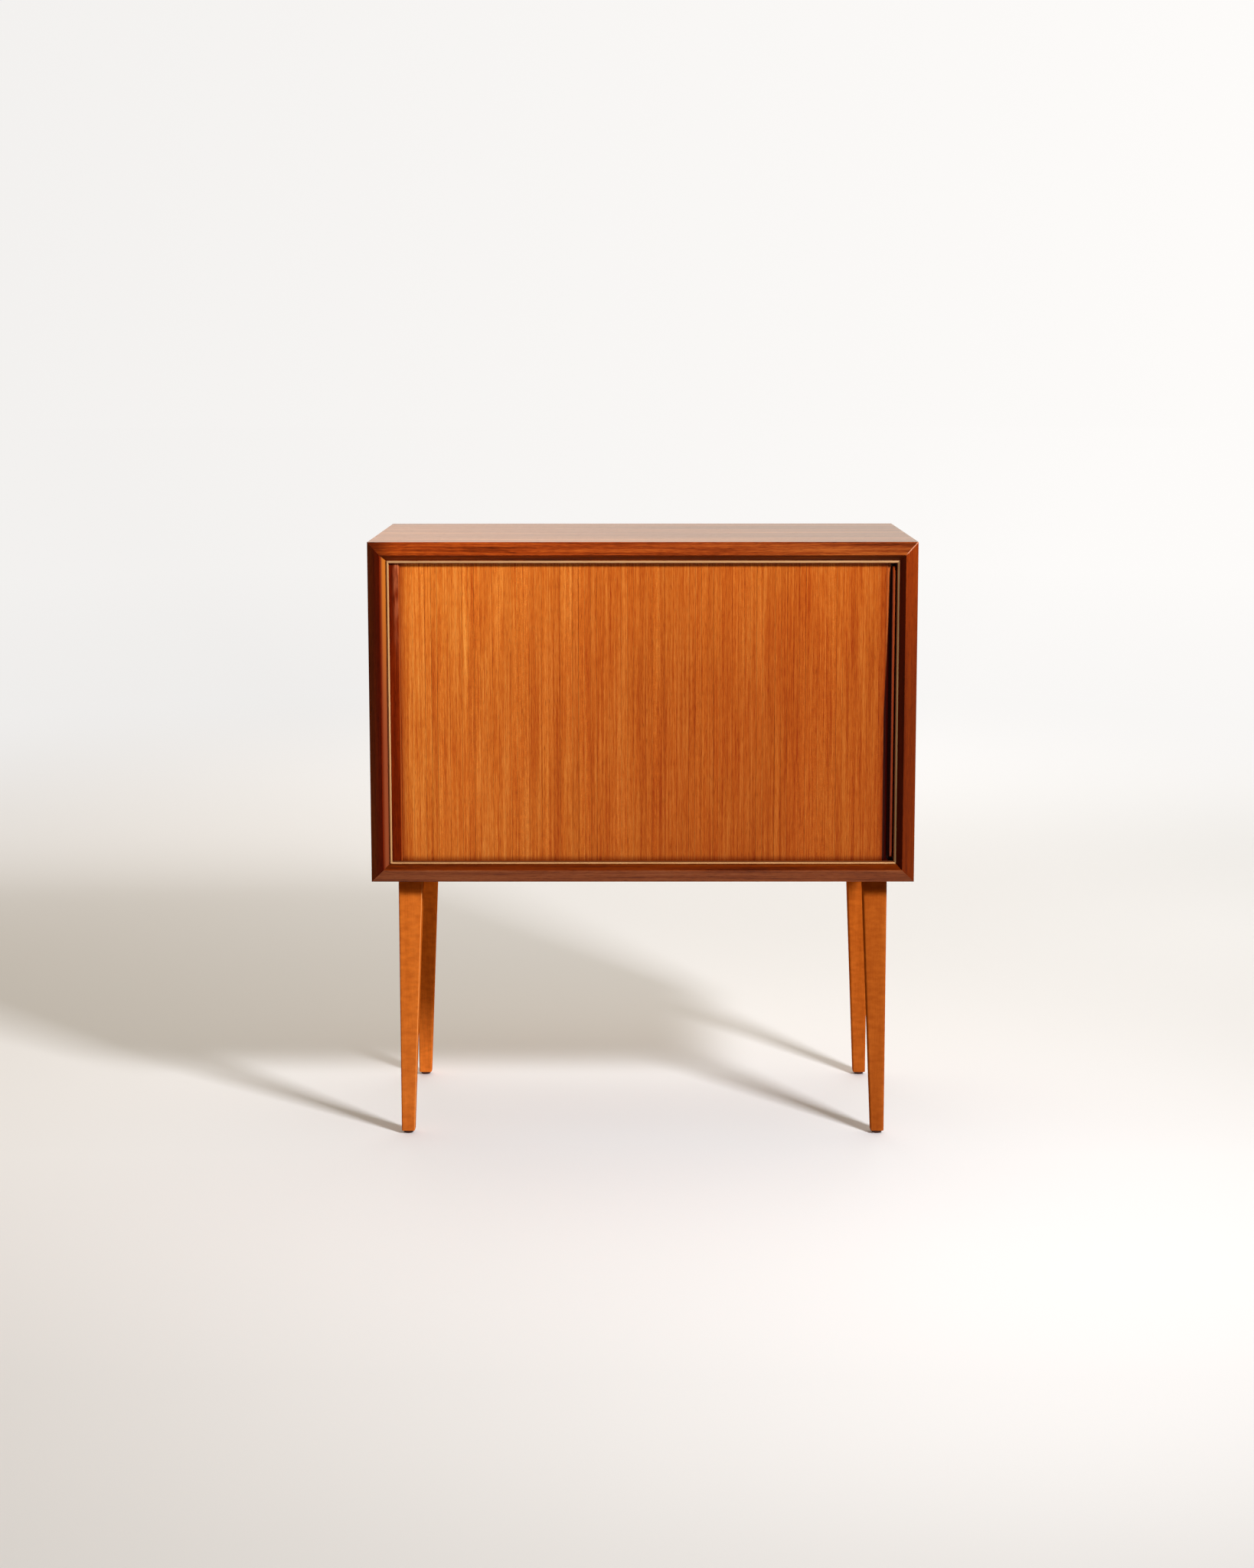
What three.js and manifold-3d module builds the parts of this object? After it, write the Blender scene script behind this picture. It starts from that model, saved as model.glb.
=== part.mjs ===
// A tambour door cabinet: a teak case on four tapered legs, closed by a curtain of narrow slats.
// The curtain slides to the left, turns the front corner, runs back inside the left side and
// then behind the false back, in a groove cut into a board above and a board below it.
// Millimetres. X runs across the front to the right, Y from the front to the back, Z up.
// The origin is on the floor, under the middle of the cabinet.

import * as THREE from "three";
import { mergeVertices } from "three/addons/utils/BufferGeometryUtils.js";
import Module from "manifold-3d";

const wasm = await Module();
wasm.setup();

// Whole cabinet
const caseWide = 780;
const caseDeep = 450;
const caseHigh = 488;
const legHigh = 382; // floor to the underside of the case, glide included
const seam = 0.3; // between two pieces that meet
const overrun = 5; // how far a cutting solid reaches past what it cuts

// Case panels, mitred at the corners, with a rebate for the back
const panelThick = 18;
const rebateWall = 9; // wood left outside the back panel
const backThick = 6;
const backInset = 3; // back panel to the rear edge of the case

// Front frame: an outer bevel up to a ridge, and a steeper bevel down to the opening
const frameDeep = 15;
const bevelWide = 18;
const bevelFall = 10.5;
const ridgeFlat = 0.9; // softened ridge between the two bevels
const innerBevelWide = 7.5;
const innerBevelFall = 10.6;
const quirkWide = 0.6; // narrow floor between the inner bevel and the stringing

// Pale stringing let into the inner edge of the frame
const stringWide = 3.6;
const stringDeep = 3.1;
const stringProud = 1.3;
const stringSoft = 0.4;

// Boards with the curtain's groove
const boardThick = 11;
const boardWall = 3.1; // wood left outside the groove
const grooveDeep = 7.5;
const grooveOuterGap = 0.6;
const grooveInnerGap = 0.4;
const endGap = 0.7; // curtain's ends to the groove's floor
const stopGap = 0.4; // stile to the groove's right end, door closed
const turnSteps = 6;

// Curtain
const slatPitch = 8.75;
const slatJoint = 0.35;
const slatThick = 5.2;
const slatSoft = 0.6; // chamfer along a slat's front edges
const slatWeb = 0.9; // glued skin that holds one run of slats together
const slatRuns = 9;
const tailHidden = 17.4; // curtain past the cover strip's edge, door closed
const canvasThick = 0.6;
const canvasShort = 2; // canvas to the boards above and below
const canvasOnStile = 15;
const canvasBare = 2; // tail left without canvas

// Lead stile and its pull
const stileWide = 21.7;
const stileHidden = 8; // stile behind the frame, door closed
const coveLand = 1.2; // flat beside the finger cove
const coveWide = 6;
const coveFall = 2.4;
const coveBendShare = 1 / 3; // of the cove's width, where its curve turns flat
const pullWide = 4.8;
const pullHigh = 9.4; // root to nose
const pullRoot = 1; // root below the cove's floor
const pullShort = 5; // pull to the opening's edges above and below
const pullRound = 1.2;
const pullRoundSteps = 3;
const pullEndRun = 16; // length of the rounded ends
const pullEndFall = 4;

// Cover strip over the left corner
const coverWide = 14.6;
const coverProud = 4.7; // front of its edge to the slats' faces
const coverFall = 2.4;
const coverGap = 0.6;
const coverSoft = 0.5;

// False side and false back
const linerThick = 8;
const linerFront = 34; // depth of its front edge
const linerCornerGap = 0.4; // corner of the liners to the turning canvas
const innerBackThick = 6;
const backRunEnd = 290; // length of the groove's last straight

// Shelf and its pins
const shelfThick = 16;
const shelfFront = 42;
const shelfSoft = 1;
const shelfGap = 0.6;
const pinRadius = 2.2;
const pinInWall = 6.5;
const pinOut = 8;
const pinHoleDeep = 7;
const pinHoleRadius = 2.5;
const pinFrontDeep = 85;
const pinFromBack = 50; // axis of the back pins to the false back
const pinRowPitch = 32;
const pinRows = 5;

// Legs, their bolts, inserts and glides
const legTop = 35;
const legFoot = 19.3;
const legRound = 2.4;
const legInsetSide = 36;
const legInsetFront = 41;
const legInsetBack = 43;
const boltRadius = 3.7;
const boltInLeg = 30;
const boltInPanel = 14;
const insertRadius = 5.7;
const insertHigh = 15;
const glideRadius = 7.2;
const glideHigh = 4;
const glideSoft = 1.2;
const glideNailRadius = 1.4;
const glideNailLong = 12;

// Screws of the back panel
const screwRadius = 1.7;
const screwHeadRadius = 3.6;
const screwHeadDeep = 2;
const screwLong = 20;
const screwSpacing = 270; // between the screws of the upper and of the lower row
const screwSides = 16;
const roundSides = 24;

// Places worked out from the sizes above
const caseTop = legHigh + caseHigh;
const caseMiddle = legHigh + caseHigh / 2;
const frameWide = bevelWide + innerBevelWide + quirkWide + seam + stringWide;
const openHalf = caseWide / 2 - frameWide;
const openLow = legHigh + frameWide;
const openHigh = caseTop - frameWide;
const panelFront = frameDeep + seam;
const backSeat = caseDeep - backInset - backThick; // front face of the back panel
const boardHalf = caseWide / 2 - panelThick - seam;
const boardBack = backSeat - seam;
const lowBoardTop = legHigh + panelThick + seam + boardThick;
const highBoardUnder = caseTop - panelThick - seam - boardThick;
const slatFace = panelFront + boardWall + grooveOuterGap;
const slatBack = slatFace + slatThick;
const coverEdge = -openHalf + coverWide;
const turnX = coverEdge; // where the curtain starts to turn, just under the cover strip
const turnOuter = turnX + boardHalf - boardWall;
const turnRadius = turnOuter - grooveOuterGap - slatThick; // of the curtain's canvas side
const turnInner = turnRadius - grooveInnerGap;
const frontTurnY = slatBack + turnRadius;
const backTurnY = boardBack - boardWall - turnOuter;
const slatLow = lowBoardTop - grooveDeep + endGap;
const slatHigh = highBoardUnder + grooveDeep - endGap;
const stileRight = openHalf + stileHidden;
const stileLeft = stileRight - stileWide;
const curtainRight = stileLeft - seam;
const slatCount = Math.round((curtainRight - coverEdge + tailHidden) / slatPitch);
const straightRun = curtainRight - turnX; // curtain's length before the first turn
const linerReach = (turnInner - canvasThick - linerCornerGap) * Math.SQRT1_2;
const linerOuterX = turnX - linerReach;
const linerInnerX = linerOuterX + linerThick;
const innerBackRear = backTurnY + linerReach;
const innerBackFront = innerBackRear - innerBackThick;
const pinBackDeep = innerBackFront - pinFromBack;
const pinRowZ = (lowBoardTop + highBoardUnder) / 2;
const shelfUnder = pinRowZ + pinRadius + seam;
const rightWallX = caseWide / 2 - panelThick;

// Finishes
function finish(color, roughness, metalness) {
  return () => new THREE.MeshStandardMaterial({ color, roughness, metalness });
}
const darkTeak = finish(0x8a4524, 0.45, 0);
const topTeak = finish(0xb98a68, 0.4, 0);
const slatTeak = finish(0xc66f2e, 0.5, 0);
const legTeak = finish(0xb5652c, 0.5, 0);
const paleStringing = finish(0xe3b888, 0.5, 0);
const insideTeak = finish(0xa8683a, 0.6, 0);
const plywood = finish(0xb99466, 0.8, 0);
const linen = finish(0xb7a98a, 0.95, 0);
const zincSteel = finish(0xa9abad, 0.35, 0.9);
const brassPin = finish(0xb08d4a, 0.35, 0.9);
const brownPlastic = finish(0x3a2115, 0.6, 0);

const cabinet = new THREE.Group();
// Everything in this group has its depth counted from the ridge of the front frame.
const fromFront = new THREE.Group();
fromFront.position.y = -caseDeep / 2;
cabinet.add(fromFront);

function add(name, geometry, material) {
  const mesh = new THREE.Mesh(geometry, material());
  mesh.name = name;
  fromFront.add(mesh);
  return mesh;
}

// Solids for cutting
function solidOf(geometry) {
  const bare = new THREE.BufferGeometry();
  const loose = geometry.index ? geometry.toNonIndexed() : geometry;
  bare.setAttribute("position", loose.getAttribute("position"));
  const merged = mergeVertices(bare);
  return new wasm.Manifold(
    new wasm.Mesh({
      numProp: 3,
      vertProperties: merged.attributes.position.array,
      triVerts: new Uint32Array(merged.index.array),
    }),
  );
}

function geometryOf(solid) {
  const mesh = solid.getMesh();
  const geometry = new THREE.BufferGeometry();
  geometry.setAttribute("position", new THREE.BufferAttribute(mesh.vertProperties, 3));
  geometry.setIndex(new THREE.BufferAttribute(mesh.triVerts, 1));
  return geometry.toNonIndexed();
}

// Cuts tools, given in the cabinet's frame, out of a mesh that is already in its place.
function cut(mesh, tools) {
  mesh.updateMatrix();
  const intoMesh = mesh.matrix.clone().invert();
  let solid = solidOf(mesh.geometry);
  for (const tool of tools) {
    solid = solid.subtract(solidOf(tool.clone().applyMatrix4(intoMesh)));
  }
  mesh.geometry = geometryOf(solid);
}

// A block between two corners
function block(low, high) {
  const geometry = new THREE.BoxGeometry(high[0] - low[0], high[1] - low[1], high[2] - low[2]);
  return geometry.translate((low[0] + high[0]) / 2, (low[1] + high[1]) / 2, (low[2] + high[2]) / 2);
}

// A round rod between two heights
function uprightRod(radius, x, y, low, high) {
  const geometry = new THREE.CylinderGeometry(radius, radius, high - low, roundSides);
  return geometry.rotateX(Math.PI / 2).translate(x, y, (low + high) / 2);
}

// A round rod across the cabinet
function crossRod(radius, y, z, left, right) {
  const geometry = new THREE.CylinderGeometry(radius, radius, right - left, screwSides);
  return geometry.rotateZ(Math.PI / 2).translate((left + right) / 2, y, z);
}

// A body of revolution about Y, from points of radius and height
function turned(points, aroundSides) {
  return new THREE.LatheGeometry(points.map(([r, y]) => new THREE.Vector2(r, y)), aroundSides);
}

// An outline seen from above, raised from one height to another
function upright(shape, low, high, curveSegments = turnSteps) {
  const options = { depth: high - low, bevelEnabled: false, curveSegments };
  return new THREE.ExtrudeGeometry(shape, options).translate(0, 0, low);
}

// Turns an outline drawn in depth and height, raised from the left, into its place.
function layAcross(mesh, left) {
  mesh.rotation.set(Math.PI / 2, 0, Math.PI / 2, "ZYX");
  mesh.position.x = left;
}

// Leaves out the points of an outline that lie on the line between their neighbours.
function withoutStraightPoints(points) {
  const flatShare = 1e-7;
  return points.filter((point, i) => {
    const before = points[(i + points.length - 1) % points.length].clone().sub(point);
    const after = points[(i + 1) % points.length].clone().sub(point);
    return Math.abs(before.cross(after)) > flatShare * before.length() * after.length();
  });
}

// The four sides of the case: where the middle of each outer edge is, and how it is turned
const sides = {
  top: { long: caseWide, x: 0, z: caseTop, turn: 0 },
  bottom: { long: caseWide, x: 0, z: legHigh, turn: Math.PI },
  left: { long: caseHigh, x: -caseWide / 2, z: caseMiddle, turn: -Math.PI / 2 },
  right: { long: caseHigh, x: caseWide / 2, z: caseMiddle, turn: Math.PI / 2 },
};

// A bar along one side of the case, mitred at both ends. The profile is drawn with minus the
// distance from the case's outer face across, and the depth behind the frame's ridge upwards.
function mitredBar(name, side, profile, material) {
  const { long, x, z, turn } = sides[side];
  const options = { depth: long, bevelEnabled: false, curveSegments: turnSteps };
  const geometry = new THREE.ExtrudeGeometry(profile, options);
  geometry.translate(0, 0, -long / 2).rotateY(-Math.PI / 2);
  const position = geometry.getAttribute("position");
  for (let i = 0; i < position.count; i++) {
    const inward = -position.getZ(i);
    position.setX(i, Math.sign(position.getX(i)) * (long / 2 - inward - seam / 2));
  }
  const mesh = add(name, geometry, material);
  mesh.position.set(x, 0, z);
  mesh.rotation.y = turn;
  return mesh;
}

function outline(points) {
  return new THREE.Shape(points.map(([x, y]) => new THREE.Vector2(x, y)));
}

// Screws of the back panel: three in the top, three in the bottom and one in each side
function screwPlaces() {
  const fromEdge = (rebateWall + panelThick) / 2;
  const places = [];
  for (const z of [legHigh + fromEdge, caseTop - fromEdge]) {
    for (const x of [-screwSpacing, 0, screwSpacing]) places.push([x, z]);
  }
  for (const x of [-caseWide / 2 + fromEdge, caseWide / 2 - fromEdge]) places.push([x, caseMiddle]);
  return places;
}

// A countersunk screw from its tip to its flat head, grown by a clearance where it is a cutter
function screwOutline(clearance) {
  return [
    [0, -screwLong - clearance],
    [screwRadius + clearance, -screwLong - clearance],
    [screwRadius + clearance, -screwHeadDeep],
    [screwHeadRadius + clearance, 0],
  ];
}

const screwHead = caseDeep - backInset;
const screwCutter = turned(
  [...screwOutline(seam), [screwHeadRadius + seam, overrun], [0, overrun]],
  screwSides,
);
const screwCutters = screwPlaces().map(([x, z]) => screwCutter.clone().translate(x, screwHead, z));

// Legs: a corner sign on each axis, and the place of the square top
const legs = [
  { name: "front_left", right: -1, back: -1 },
  { name: "front_right", right: 1, back: -1 },
  { name: "back_left", right: -1, back: 1 },
  { name: "back_right", right: 1, back: 1 },
].map((leg) => {
  const outerX = leg.right * (caseWide / 2 - legInsetSide);
  const outerY = leg.back < 0 ? legInsetFront : caseDeep - legInsetBack;
  return {
    ...leg,
    outerX,
    outerY,
    topX: outerX - (leg.right * legTop) / 2,
    topY: outerY - (leg.back * legTop) / 2,
    footX: outerX - (leg.right * legFoot) / 2,
    footY: outerY - (leg.back * legFoot) / 2,
  };
});

// Holes for the shelf pins, five high, in the false side and in the right side
function pinHoles(left, right) {
  const holes = [];
  for (let row = 0; row < pinRows; row++) {
    const z = pinRowZ + (row - (pinRows - 1) / 2) * pinRowPitch;
    for (const y of [pinFrontDeep, pinBackDeep]) {
      holes.push(crossRod(pinHoleRadius, y, z, left, right));
    }
  }
  return holes;
}

// Case panels
const panelProfile = outline([
  [0, panelFront],
  [0, caseDeep],
  [-rebateWall, caseDeep],
  [-rebateWall, backSeat],
  [-panelThick, backSeat],
  [-panelThick, panelFront],
]);
const topPanel = mitredBar("top_panel", "top", panelProfile, topTeak);
const bottomPanel = mitredBar("bottom_panel", "bottom", panelProfile, darkTeak);
const leftPanel = mitredBar("left_side_panel", "left", panelProfile, darkTeak);
const rightPanel = mitredBar("right_side_panel", "right", panelProfile, darkTeak);
const insertHoles = legs.map(({ topX, topY }) =>
  uprightRod(insertRadius + seam, topX, topY, legHigh - overrun, legHigh + insertHigh + seam),
);
cut(topPanel, screwCutters);
cut(bottomPanel, [...screwCutters, ...insertHoles]);
cut(leftPanel, screwCutters);
cut(rightPanel, [...screwCutters, ...pinHoles(rightWallX - overrun, rightWallX + pinHoleDeep)]);

// Back panel, let into the rebates
const backHalf = caseWide / 2 - rebateWall - seam;
const backPanel = add(
  "back_panel",
  block(
    [-backHalf, backSeat + seam, legHigh + rebateWall + seam],
    [backHalf, screwHead, caseTop - rebateWall - seam],
  ),
  plywood,
);
cut(backPanel, screwCutters);
screwPlaces().forEach(([x, z], i) => {
  const screw = add(
    `back_screw_${i + 1}`,
    turned([...screwOutline(0), [0, 0]], screwSides),
    zincSteel,
  );
  screw.position.set(x, screwHead, z);
});

// Front frame
const ledge = bevelWide + innerBevelWide + quirkWide;
const stringBack = innerBevelFall - stringProud + stringDeep;
const frameProfile = outline([
  [0, frameDeep],
  [0, bevelFall],
  [-bevelWide + ridgeFlat / 2, 0],
  [-bevelWide - ridgeFlat / 2, 0],
  [-bevelWide - innerBevelWide, innerBevelFall],
  [-ledge, innerBevelFall],
  [-ledge, stringBack + seam],
  [-frameWide, stringBack + seam],
  [-frameWide, frameDeep],
]);
const stringFront = innerBevelFall - stringProud;
const stringProfile = outline([
  [-ledge - seam, stringBack],
  [-ledge - seam, stringFront + stringSoft],
  [-ledge - seam - stringSoft, stringFront],
  [-frameWide + stringSoft, stringFront],
  [-frameWide, stringFront + stringSoft],
  [-frameWide, stringBack],
]);
mitredBar("front_rail_top", "top", frameProfile, darkTeak);
mitredBar("front_rail_bottom", "bottom", frameProfile, darkTeak);
mitredBar("front_stile_left", "left", frameProfile, darkTeak);
mitredBar("front_stile_right", "right", frameProfile, darkTeak);
for (const side of Object.keys(sides)) {
  mitredBar(`stringing_${side}`, side, stringProfile, paleStringing);
}

// The groove that the curtain runs in, seen from above
function grooveOutline() {
  const right = stileRight + stopGap;
  const end = turnX + backRunEnd;
  const down = (3 * Math.PI) / 2;
  const shape = new THREE.Shape();
  shape.moveTo(right, frontTurnY - turnOuter);
  shape.lineTo(turnX, frontTurnY - turnOuter);
  shape.absarc(turnX, frontTurnY, turnOuter, down, Math.PI, true);
  shape.lineTo(turnX - turnOuter, backTurnY);
  shape.absarc(turnX, backTurnY, turnOuter, Math.PI, Math.PI / 2, true);
  shape.lineTo(end, backTurnY + turnOuter);
  shape.lineTo(end, backTurnY + turnInner);
  shape.lineTo(turnX, backTurnY + turnInner);
  shape.absarc(turnX, backTurnY, turnInner, Math.PI / 2, Math.PI, false);
  shape.lineTo(turnX - turnInner, frontTurnY);
  shape.absarc(turnX, frontTurnY, turnInner, Math.PI, down, false);
  shape.lineTo(right, frontTurnY - turnInner);
  shape.closePath();
  return shape;
}
function trackBoard(name, low, high, grooveLow, grooveHigh) {
  const corners = [
    [-boardHalf, panelFront, low],
    [boardHalf, boardBack, high],
  ];
  const board = add(name, block(...corners), insideTeak);
  cut(board, [upright(grooveOutline(), grooveLow, grooveHigh)]);
}
trackBoard(
  "bottom_track_board",
  lowBoardTop - boardThick,
  lowBoardTop,
  lowBoardTop - grooveDeep,
  lowBoardTop + overrun,
);
trackBoard(
  "top_track_board",
  highBoardUnder,
  highBoardUnder + boardThick,
  highBoardUnder - overrun,
  highBoardUnder + grooveDeep,
);

// False side and false back, which hide the curtain when the door is open
const linerLow = lowBoardTop + seam;
const linerHigh = highBoardUnder - seam;
const leftLiner = add(
  "left_liner",
  block([linerOuterX, linerFront, linerLow], [linerInnerX, innerBackRear, linerHigh]),
  insideTeak,
);
cut(leftLiner, pinHoles(linerInnerX - pinHoleDeep, linerInnerX + overrun));
add(
  "inner_back",
  block([linerInnerX + seam, innerBackFront, linerLow], [boardHalf, innerBackRear, linerHigh]),
  insideTeak,
);

// Cover strip, which hides the curtain's turn at the left
const coverBack = slatFace - coverGap;
const coverFront = slatFace - coverProud;
add(
  "cover_strip",
  upright(
    outline([
      [coverEdge, coverFront + coverSoft],
      [coverEdge, coverBack],
      [-boardHalf, coverBack],
      [-boardHalf, panelFront],
      [-openHalf - seam, panelFront],
      [-openHalf - seam, coverFront + coverFall],
      [coverEdge - coverSoft, coverFront],
    ]),
    openLow + seam,
    openHigh - seam,
  ),
  darkTeak,
);

// Shelf on four pins
const shelfLeft = linerInnerX + shelfGap;
const shelfRight = rightWallX - shelfGap;
const shelfTop = shelfUnder + shelfThick;
const shelfSection = outline([
  [shelfFront + shelfSoft, shelfUnder],
  [innerBackFront - shelfGap, shelfUnder],
  [innerBackFront - shelfGap, shelfTop],
  [shelfFront + shelfSoft, shelfTop],
  [shelfFront, shelfTop - shelfSoft],
  [shelfFront, shelfUnder + shelfSoft],
]);
const shelf = add(
  "shelf",
  new THREE.ExtrudeGeometry(shelfSection, { depth: shelfRight - shelfLeft, bevelEnabled: false }),
  insideTeak,
);
layAcross(shelf, shelfLeft);
const pins = [
  ["shelf_pin_front_left", pinFrontDeep, linerInnerX - pinInWall, linerInnerX + pinOut],
  ["shelf_pin_back_left", pinBackDeep, linerInnerX - pinInWall, linerInnerX + pinOut],
  ["shelf_pin_front_right", pinFrontDeep, rightWallX - pinOut, rightWallX + pinInWall],
  ["shelf_pin_back_right", pinBackDeep, rightWallX - pinOut, rightWallX + pinInWall],
];
for (const [name, y, left, right] of pins) {
  add(name, crossRod(pinRadius, y, pinRowZ, left, right), brassPin);
}

// A point of the curtain: its length from the lead stile, and the height above its canvas side
function curtainPoint(length, height) {
  if (length <= straightRun) return new THREE.Vector2(curtainRight - length, slatBack - height);
  const angle = (length - straightRun) / turnRadius;
  const radius = turnRadius + height;
  return new THREE.Vector2(
    turnX - radius * Math.sin(angle),
    frontTurnY - radius * Math.cos(angle),
  );
}

// A point of one slat, which stays flat where the curtain bends
function slatPoint(slat, along, height) {
  const middle = (slat + 1 / 2) * slatPitch;
  const foot = curtainPoint(middle, 0);
  const out = curtainPoint(middle, slatThick).sub(foot).divideScalar(slatThick);
  const forward = new THREE.Vector2(out.y, -out.x);
  return foot.addScaledVector(out, height).addScaledVector(forward, along);
}

// One run of slats: a fine open joint between each two, and a thin skin that holds them together
function slatRun(first, last) {
  const half = (slatPitch - slatJoint) / 2;
  const front = [];
  const back = [];
  for (let slat = first; slat <= last; slat++) {
    if (slat > first) front.push(slatPoint(slat, -half, slatWeb));
    front.push(slatPoint(slat, -half, slatThick - slatSoft));
    front.push(slatPoint(slat, slatSoft - half, slatThick));
    front.push(slatPoint(slat, half - slatSoft, slatThick));
    front.push(slatPoint(slat, half, slatThick - slatSoft));
    if (slat < last) front.push(slatPoint(slat, half, slatWeb));
    back.push(slatPoint(slat, -half, 0), slatPoint(slat, half, 0));
  }
  return new THREE.Shape(withoutStraightPoints([...front, ...back.reverse()]));
}
for (let run = 0; run < slatRuns; run++) {
  const first = Math.floor((slatCount * run) / slatRuns);
  const next = Math.floor((slatCount * (run + 1)) / slatRuns);
  add(`tambour_slats_${run + 1}`, upright(slatRun(first, next - 1), slatLow, slatHigh), slatTeak);
}

// Canvas glued to the back of the slats and of the stile
function canvasOutline() {
  const tail = slatCount * slatPitch - canvasBare;
  const bends = Math.max(0, Math.ceil((tail - straightRun) / slatPitch));
  const lengths = [-canvasOnStile, Math.min(tail, straightRun)];
  for (let bend = 1; bend <= bends; bend++) {
    lengths.push(straightRun + ((tail - straightRun) * bend) / bends);
  }
  const outer = lengths.map((length) => curtainPoint(length, -seam));
  const inner = lengths.map((length) => curtainPoint(length, -seam - canvasThick));
  return new THREE.Shape(withoutStraightPoints([...outer, ...inner.reverse()]));
}
add(
  "tambour_canvas",
  upright(canvasOutline(), lowBoardTop + canvasShort, highBoardUnder - canvasShort),
  linen,
);

// Lead stile: a finger cove, and beside it the seat of the pull
const pullLeft = stileLeft + coveLand + coveWide + seam;
const pullRight = pullLeft + pullWide;
const coveFloor = slatFace + coveFall;
const pullRootDeep = coveFloor + pullRoot;
function stileOutline() {
  const shape = new THREE.Shape();
  shape.moveTo(stileLeft, slatBack);
  shape.lineTo(stileLeft, slatFace);
  shape.lineTo(stileLeft + coveLand, slatFace);
  shape.quadraticCurveTo(
    stileLeft + coveLand + coveWide * coveBendShare,
    coveFloor,
    stileLeft + coveLand + coveWide,
    coveFloor,
  );
  shape.lineTo(pullLeft - seam, pullRootDeep + seam);
  shape.lineTo(pullRight + seam, pullRootDeep + seam);
  shape.lineTo(pullRight + seam, slatFace);
  shape.lineTo(stileRight, slatFace);
  shape.lineTo(stileRight, slatBack);
  shape.closePath();
  return shape;
}
add("lead_stile", upright(stileOutline(), slatLow, slatHigh), slatTeak);

// Pull: a thin bar with a rounded nose, whose ends sweep down to the stile
const pullLow = openLow + pullShort;
const pullTop = openHigh - pullShort;
const pullNose = pullRootDeep - pullHigh;
function pullSide() {
  const shape = new THREE.Shape();
  shape.moveTo(pullRootDeep, pullLow);
  shape.lineTo(pullRootDeep, pullTop);
  shape.lineTo(pullNose + pullEndFall, pullTop);
  shape.quadraticCurveTo(pullNose, pullTop, pullNose, pullTop - pullEndRun);
  shape.lineTo(pullNose, pullLow + pullEndRun);
  shape.quadraticCurveTo(pullNose, pullLow, pullNose + pullEndFall, pullLow);
  shape.closePath();
  return shape;
}
const pullBar = add(
  "pull_bar",
  new THREE.ExtrudeGeometry(pullSide(), {
    depth: pullWide - 2 * pullRound,
    bevelThickness: pullRound,
    bevelSize: pullRound,
    bevelOffset: -pullRound,
    bevelSegments: pullRoundSteps,
    curveSegments: turnSteps,
  }),
  darkTeak,
);
layAcross(pullBar, pullLeft + pullRound);

// A rounded square, with its outer corner at the origin
function legSection() {
  const r = legRound;
  const shape = new THREE.Shape();
  shape.moveTo(r, 0);
  shape.lineTo(legTop - r, 0);
  shape.absarc(legTop - r, r, r, -Math.PI / 2, 0, false);
  shape.lineTo(legTop, legTop - r);
  shape.absarc(legTop - r, legTop - r, r, 0, Math.PI / 2, false);
  shape.lineTo(r, legTop);
  shape.absarc(r, legTop - r, r, Math.PI / 2, Math.PI, false);
  shape.lineTo(0, r);
  shape.absarc(r, r, r, Math.PI, (3 * Math.PI) / 2, false);
  return shape;
}

// Legs taper on their two inner sides, so a lower section is a smaller copy about the outer corner.
const legLow = glideHigh + seam;
const legSteps = 2;
for (const { name, right, back, outerX, outerY, topX, topY, footX, footY } of legs) {
  const geometry = upright(legSection(), legLow, legHigh - seam, legSteps);
  const position = geometry.getAttribute("position");
  for (let i = 0; i < position.count; i++) {
    const lowShare = (legHigh - seam - position.getZ(i)) / (legHigh - seam - legLow);
    const size = 1 - lowShare * (1 - legFoot / legTop);
    position.setX(i, position.getX(i) * size);
    position.setY(i, position.getY(i) * size);
  }
  const leg = add(`leg_${name}`, geometry, legTeak);
  // A quarter turn for each corner points the section inwards.
  const quarter = right < 0 ? (back < 0 ? 0 : 3) : back < 0 ? 1 : 2;
  leg.position.set(outerX, outerY, 0);
  leg.rotation.z = (quarter * Math.PI) / 2;
  cut(leg, [
    uprightRod(boltRadius + seam, topX, topY, legHigh - boltInLeg - seam, legHigh + overrun),
    uprightRod(glideNailRadius + seam, footX, footY, 0, glideHigh + glideNailLong + seam),
  ]);

  // Threaded bolt of the leg, and the brass insert that it screws into
  const bolt = uprightRod(boltRadius, topX, topY, legHigh - boltInLeg, legHigh + boltInPanel);
  add(`leg_bolt_${name}`, bolt, zincSteel);
  const insert = add(
    `leg_insert_${name}`,
    uprightRod(insertRadius, topX, topY, legHigh + seam, legHigh + insertHigh),
    brassPin,
  );
  cut(insert, [
    uprightRod(boltRadius + seam, topX, topY, legHigh - overrun, legHigh + insertHigh + overrun),
  ]);

  // Glide nailed into the foot
  const glideTop = glideHigh + glideNailLong;
  const glideShape = turned(
    [
      [0, 0],
      [glideRadius - glideSoft, 0],
      [glideRadius, glideSoft],
      [glideRadius, glideHigh],
      [glideNailRadius, glideHigh],
      [glideNailRadius, glideTop],
      [0, glideTop],
    ],
    roundSides,
  );
  const glide = add(`glide_${name}`, glideShape.rotateX(Math.PI / 2), brownPlastic);
  glide.position.set(footX, footY, 0);
}

export default cabinet;
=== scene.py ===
# %% [markdown]
# A tambour door cabinet
#
# This lesson dresses a small teak cabinet for a portrait. Its construction is already there as
# a fixed frame: plain solids at their real size. Each cell adds what the frame lacks, which is
# softened edges, separate slats, moulded feet and the look of oiled wood. Lengths are in
# metres and angles in radians. X runs to the right, Y from the front to the back and Z up.

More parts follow.
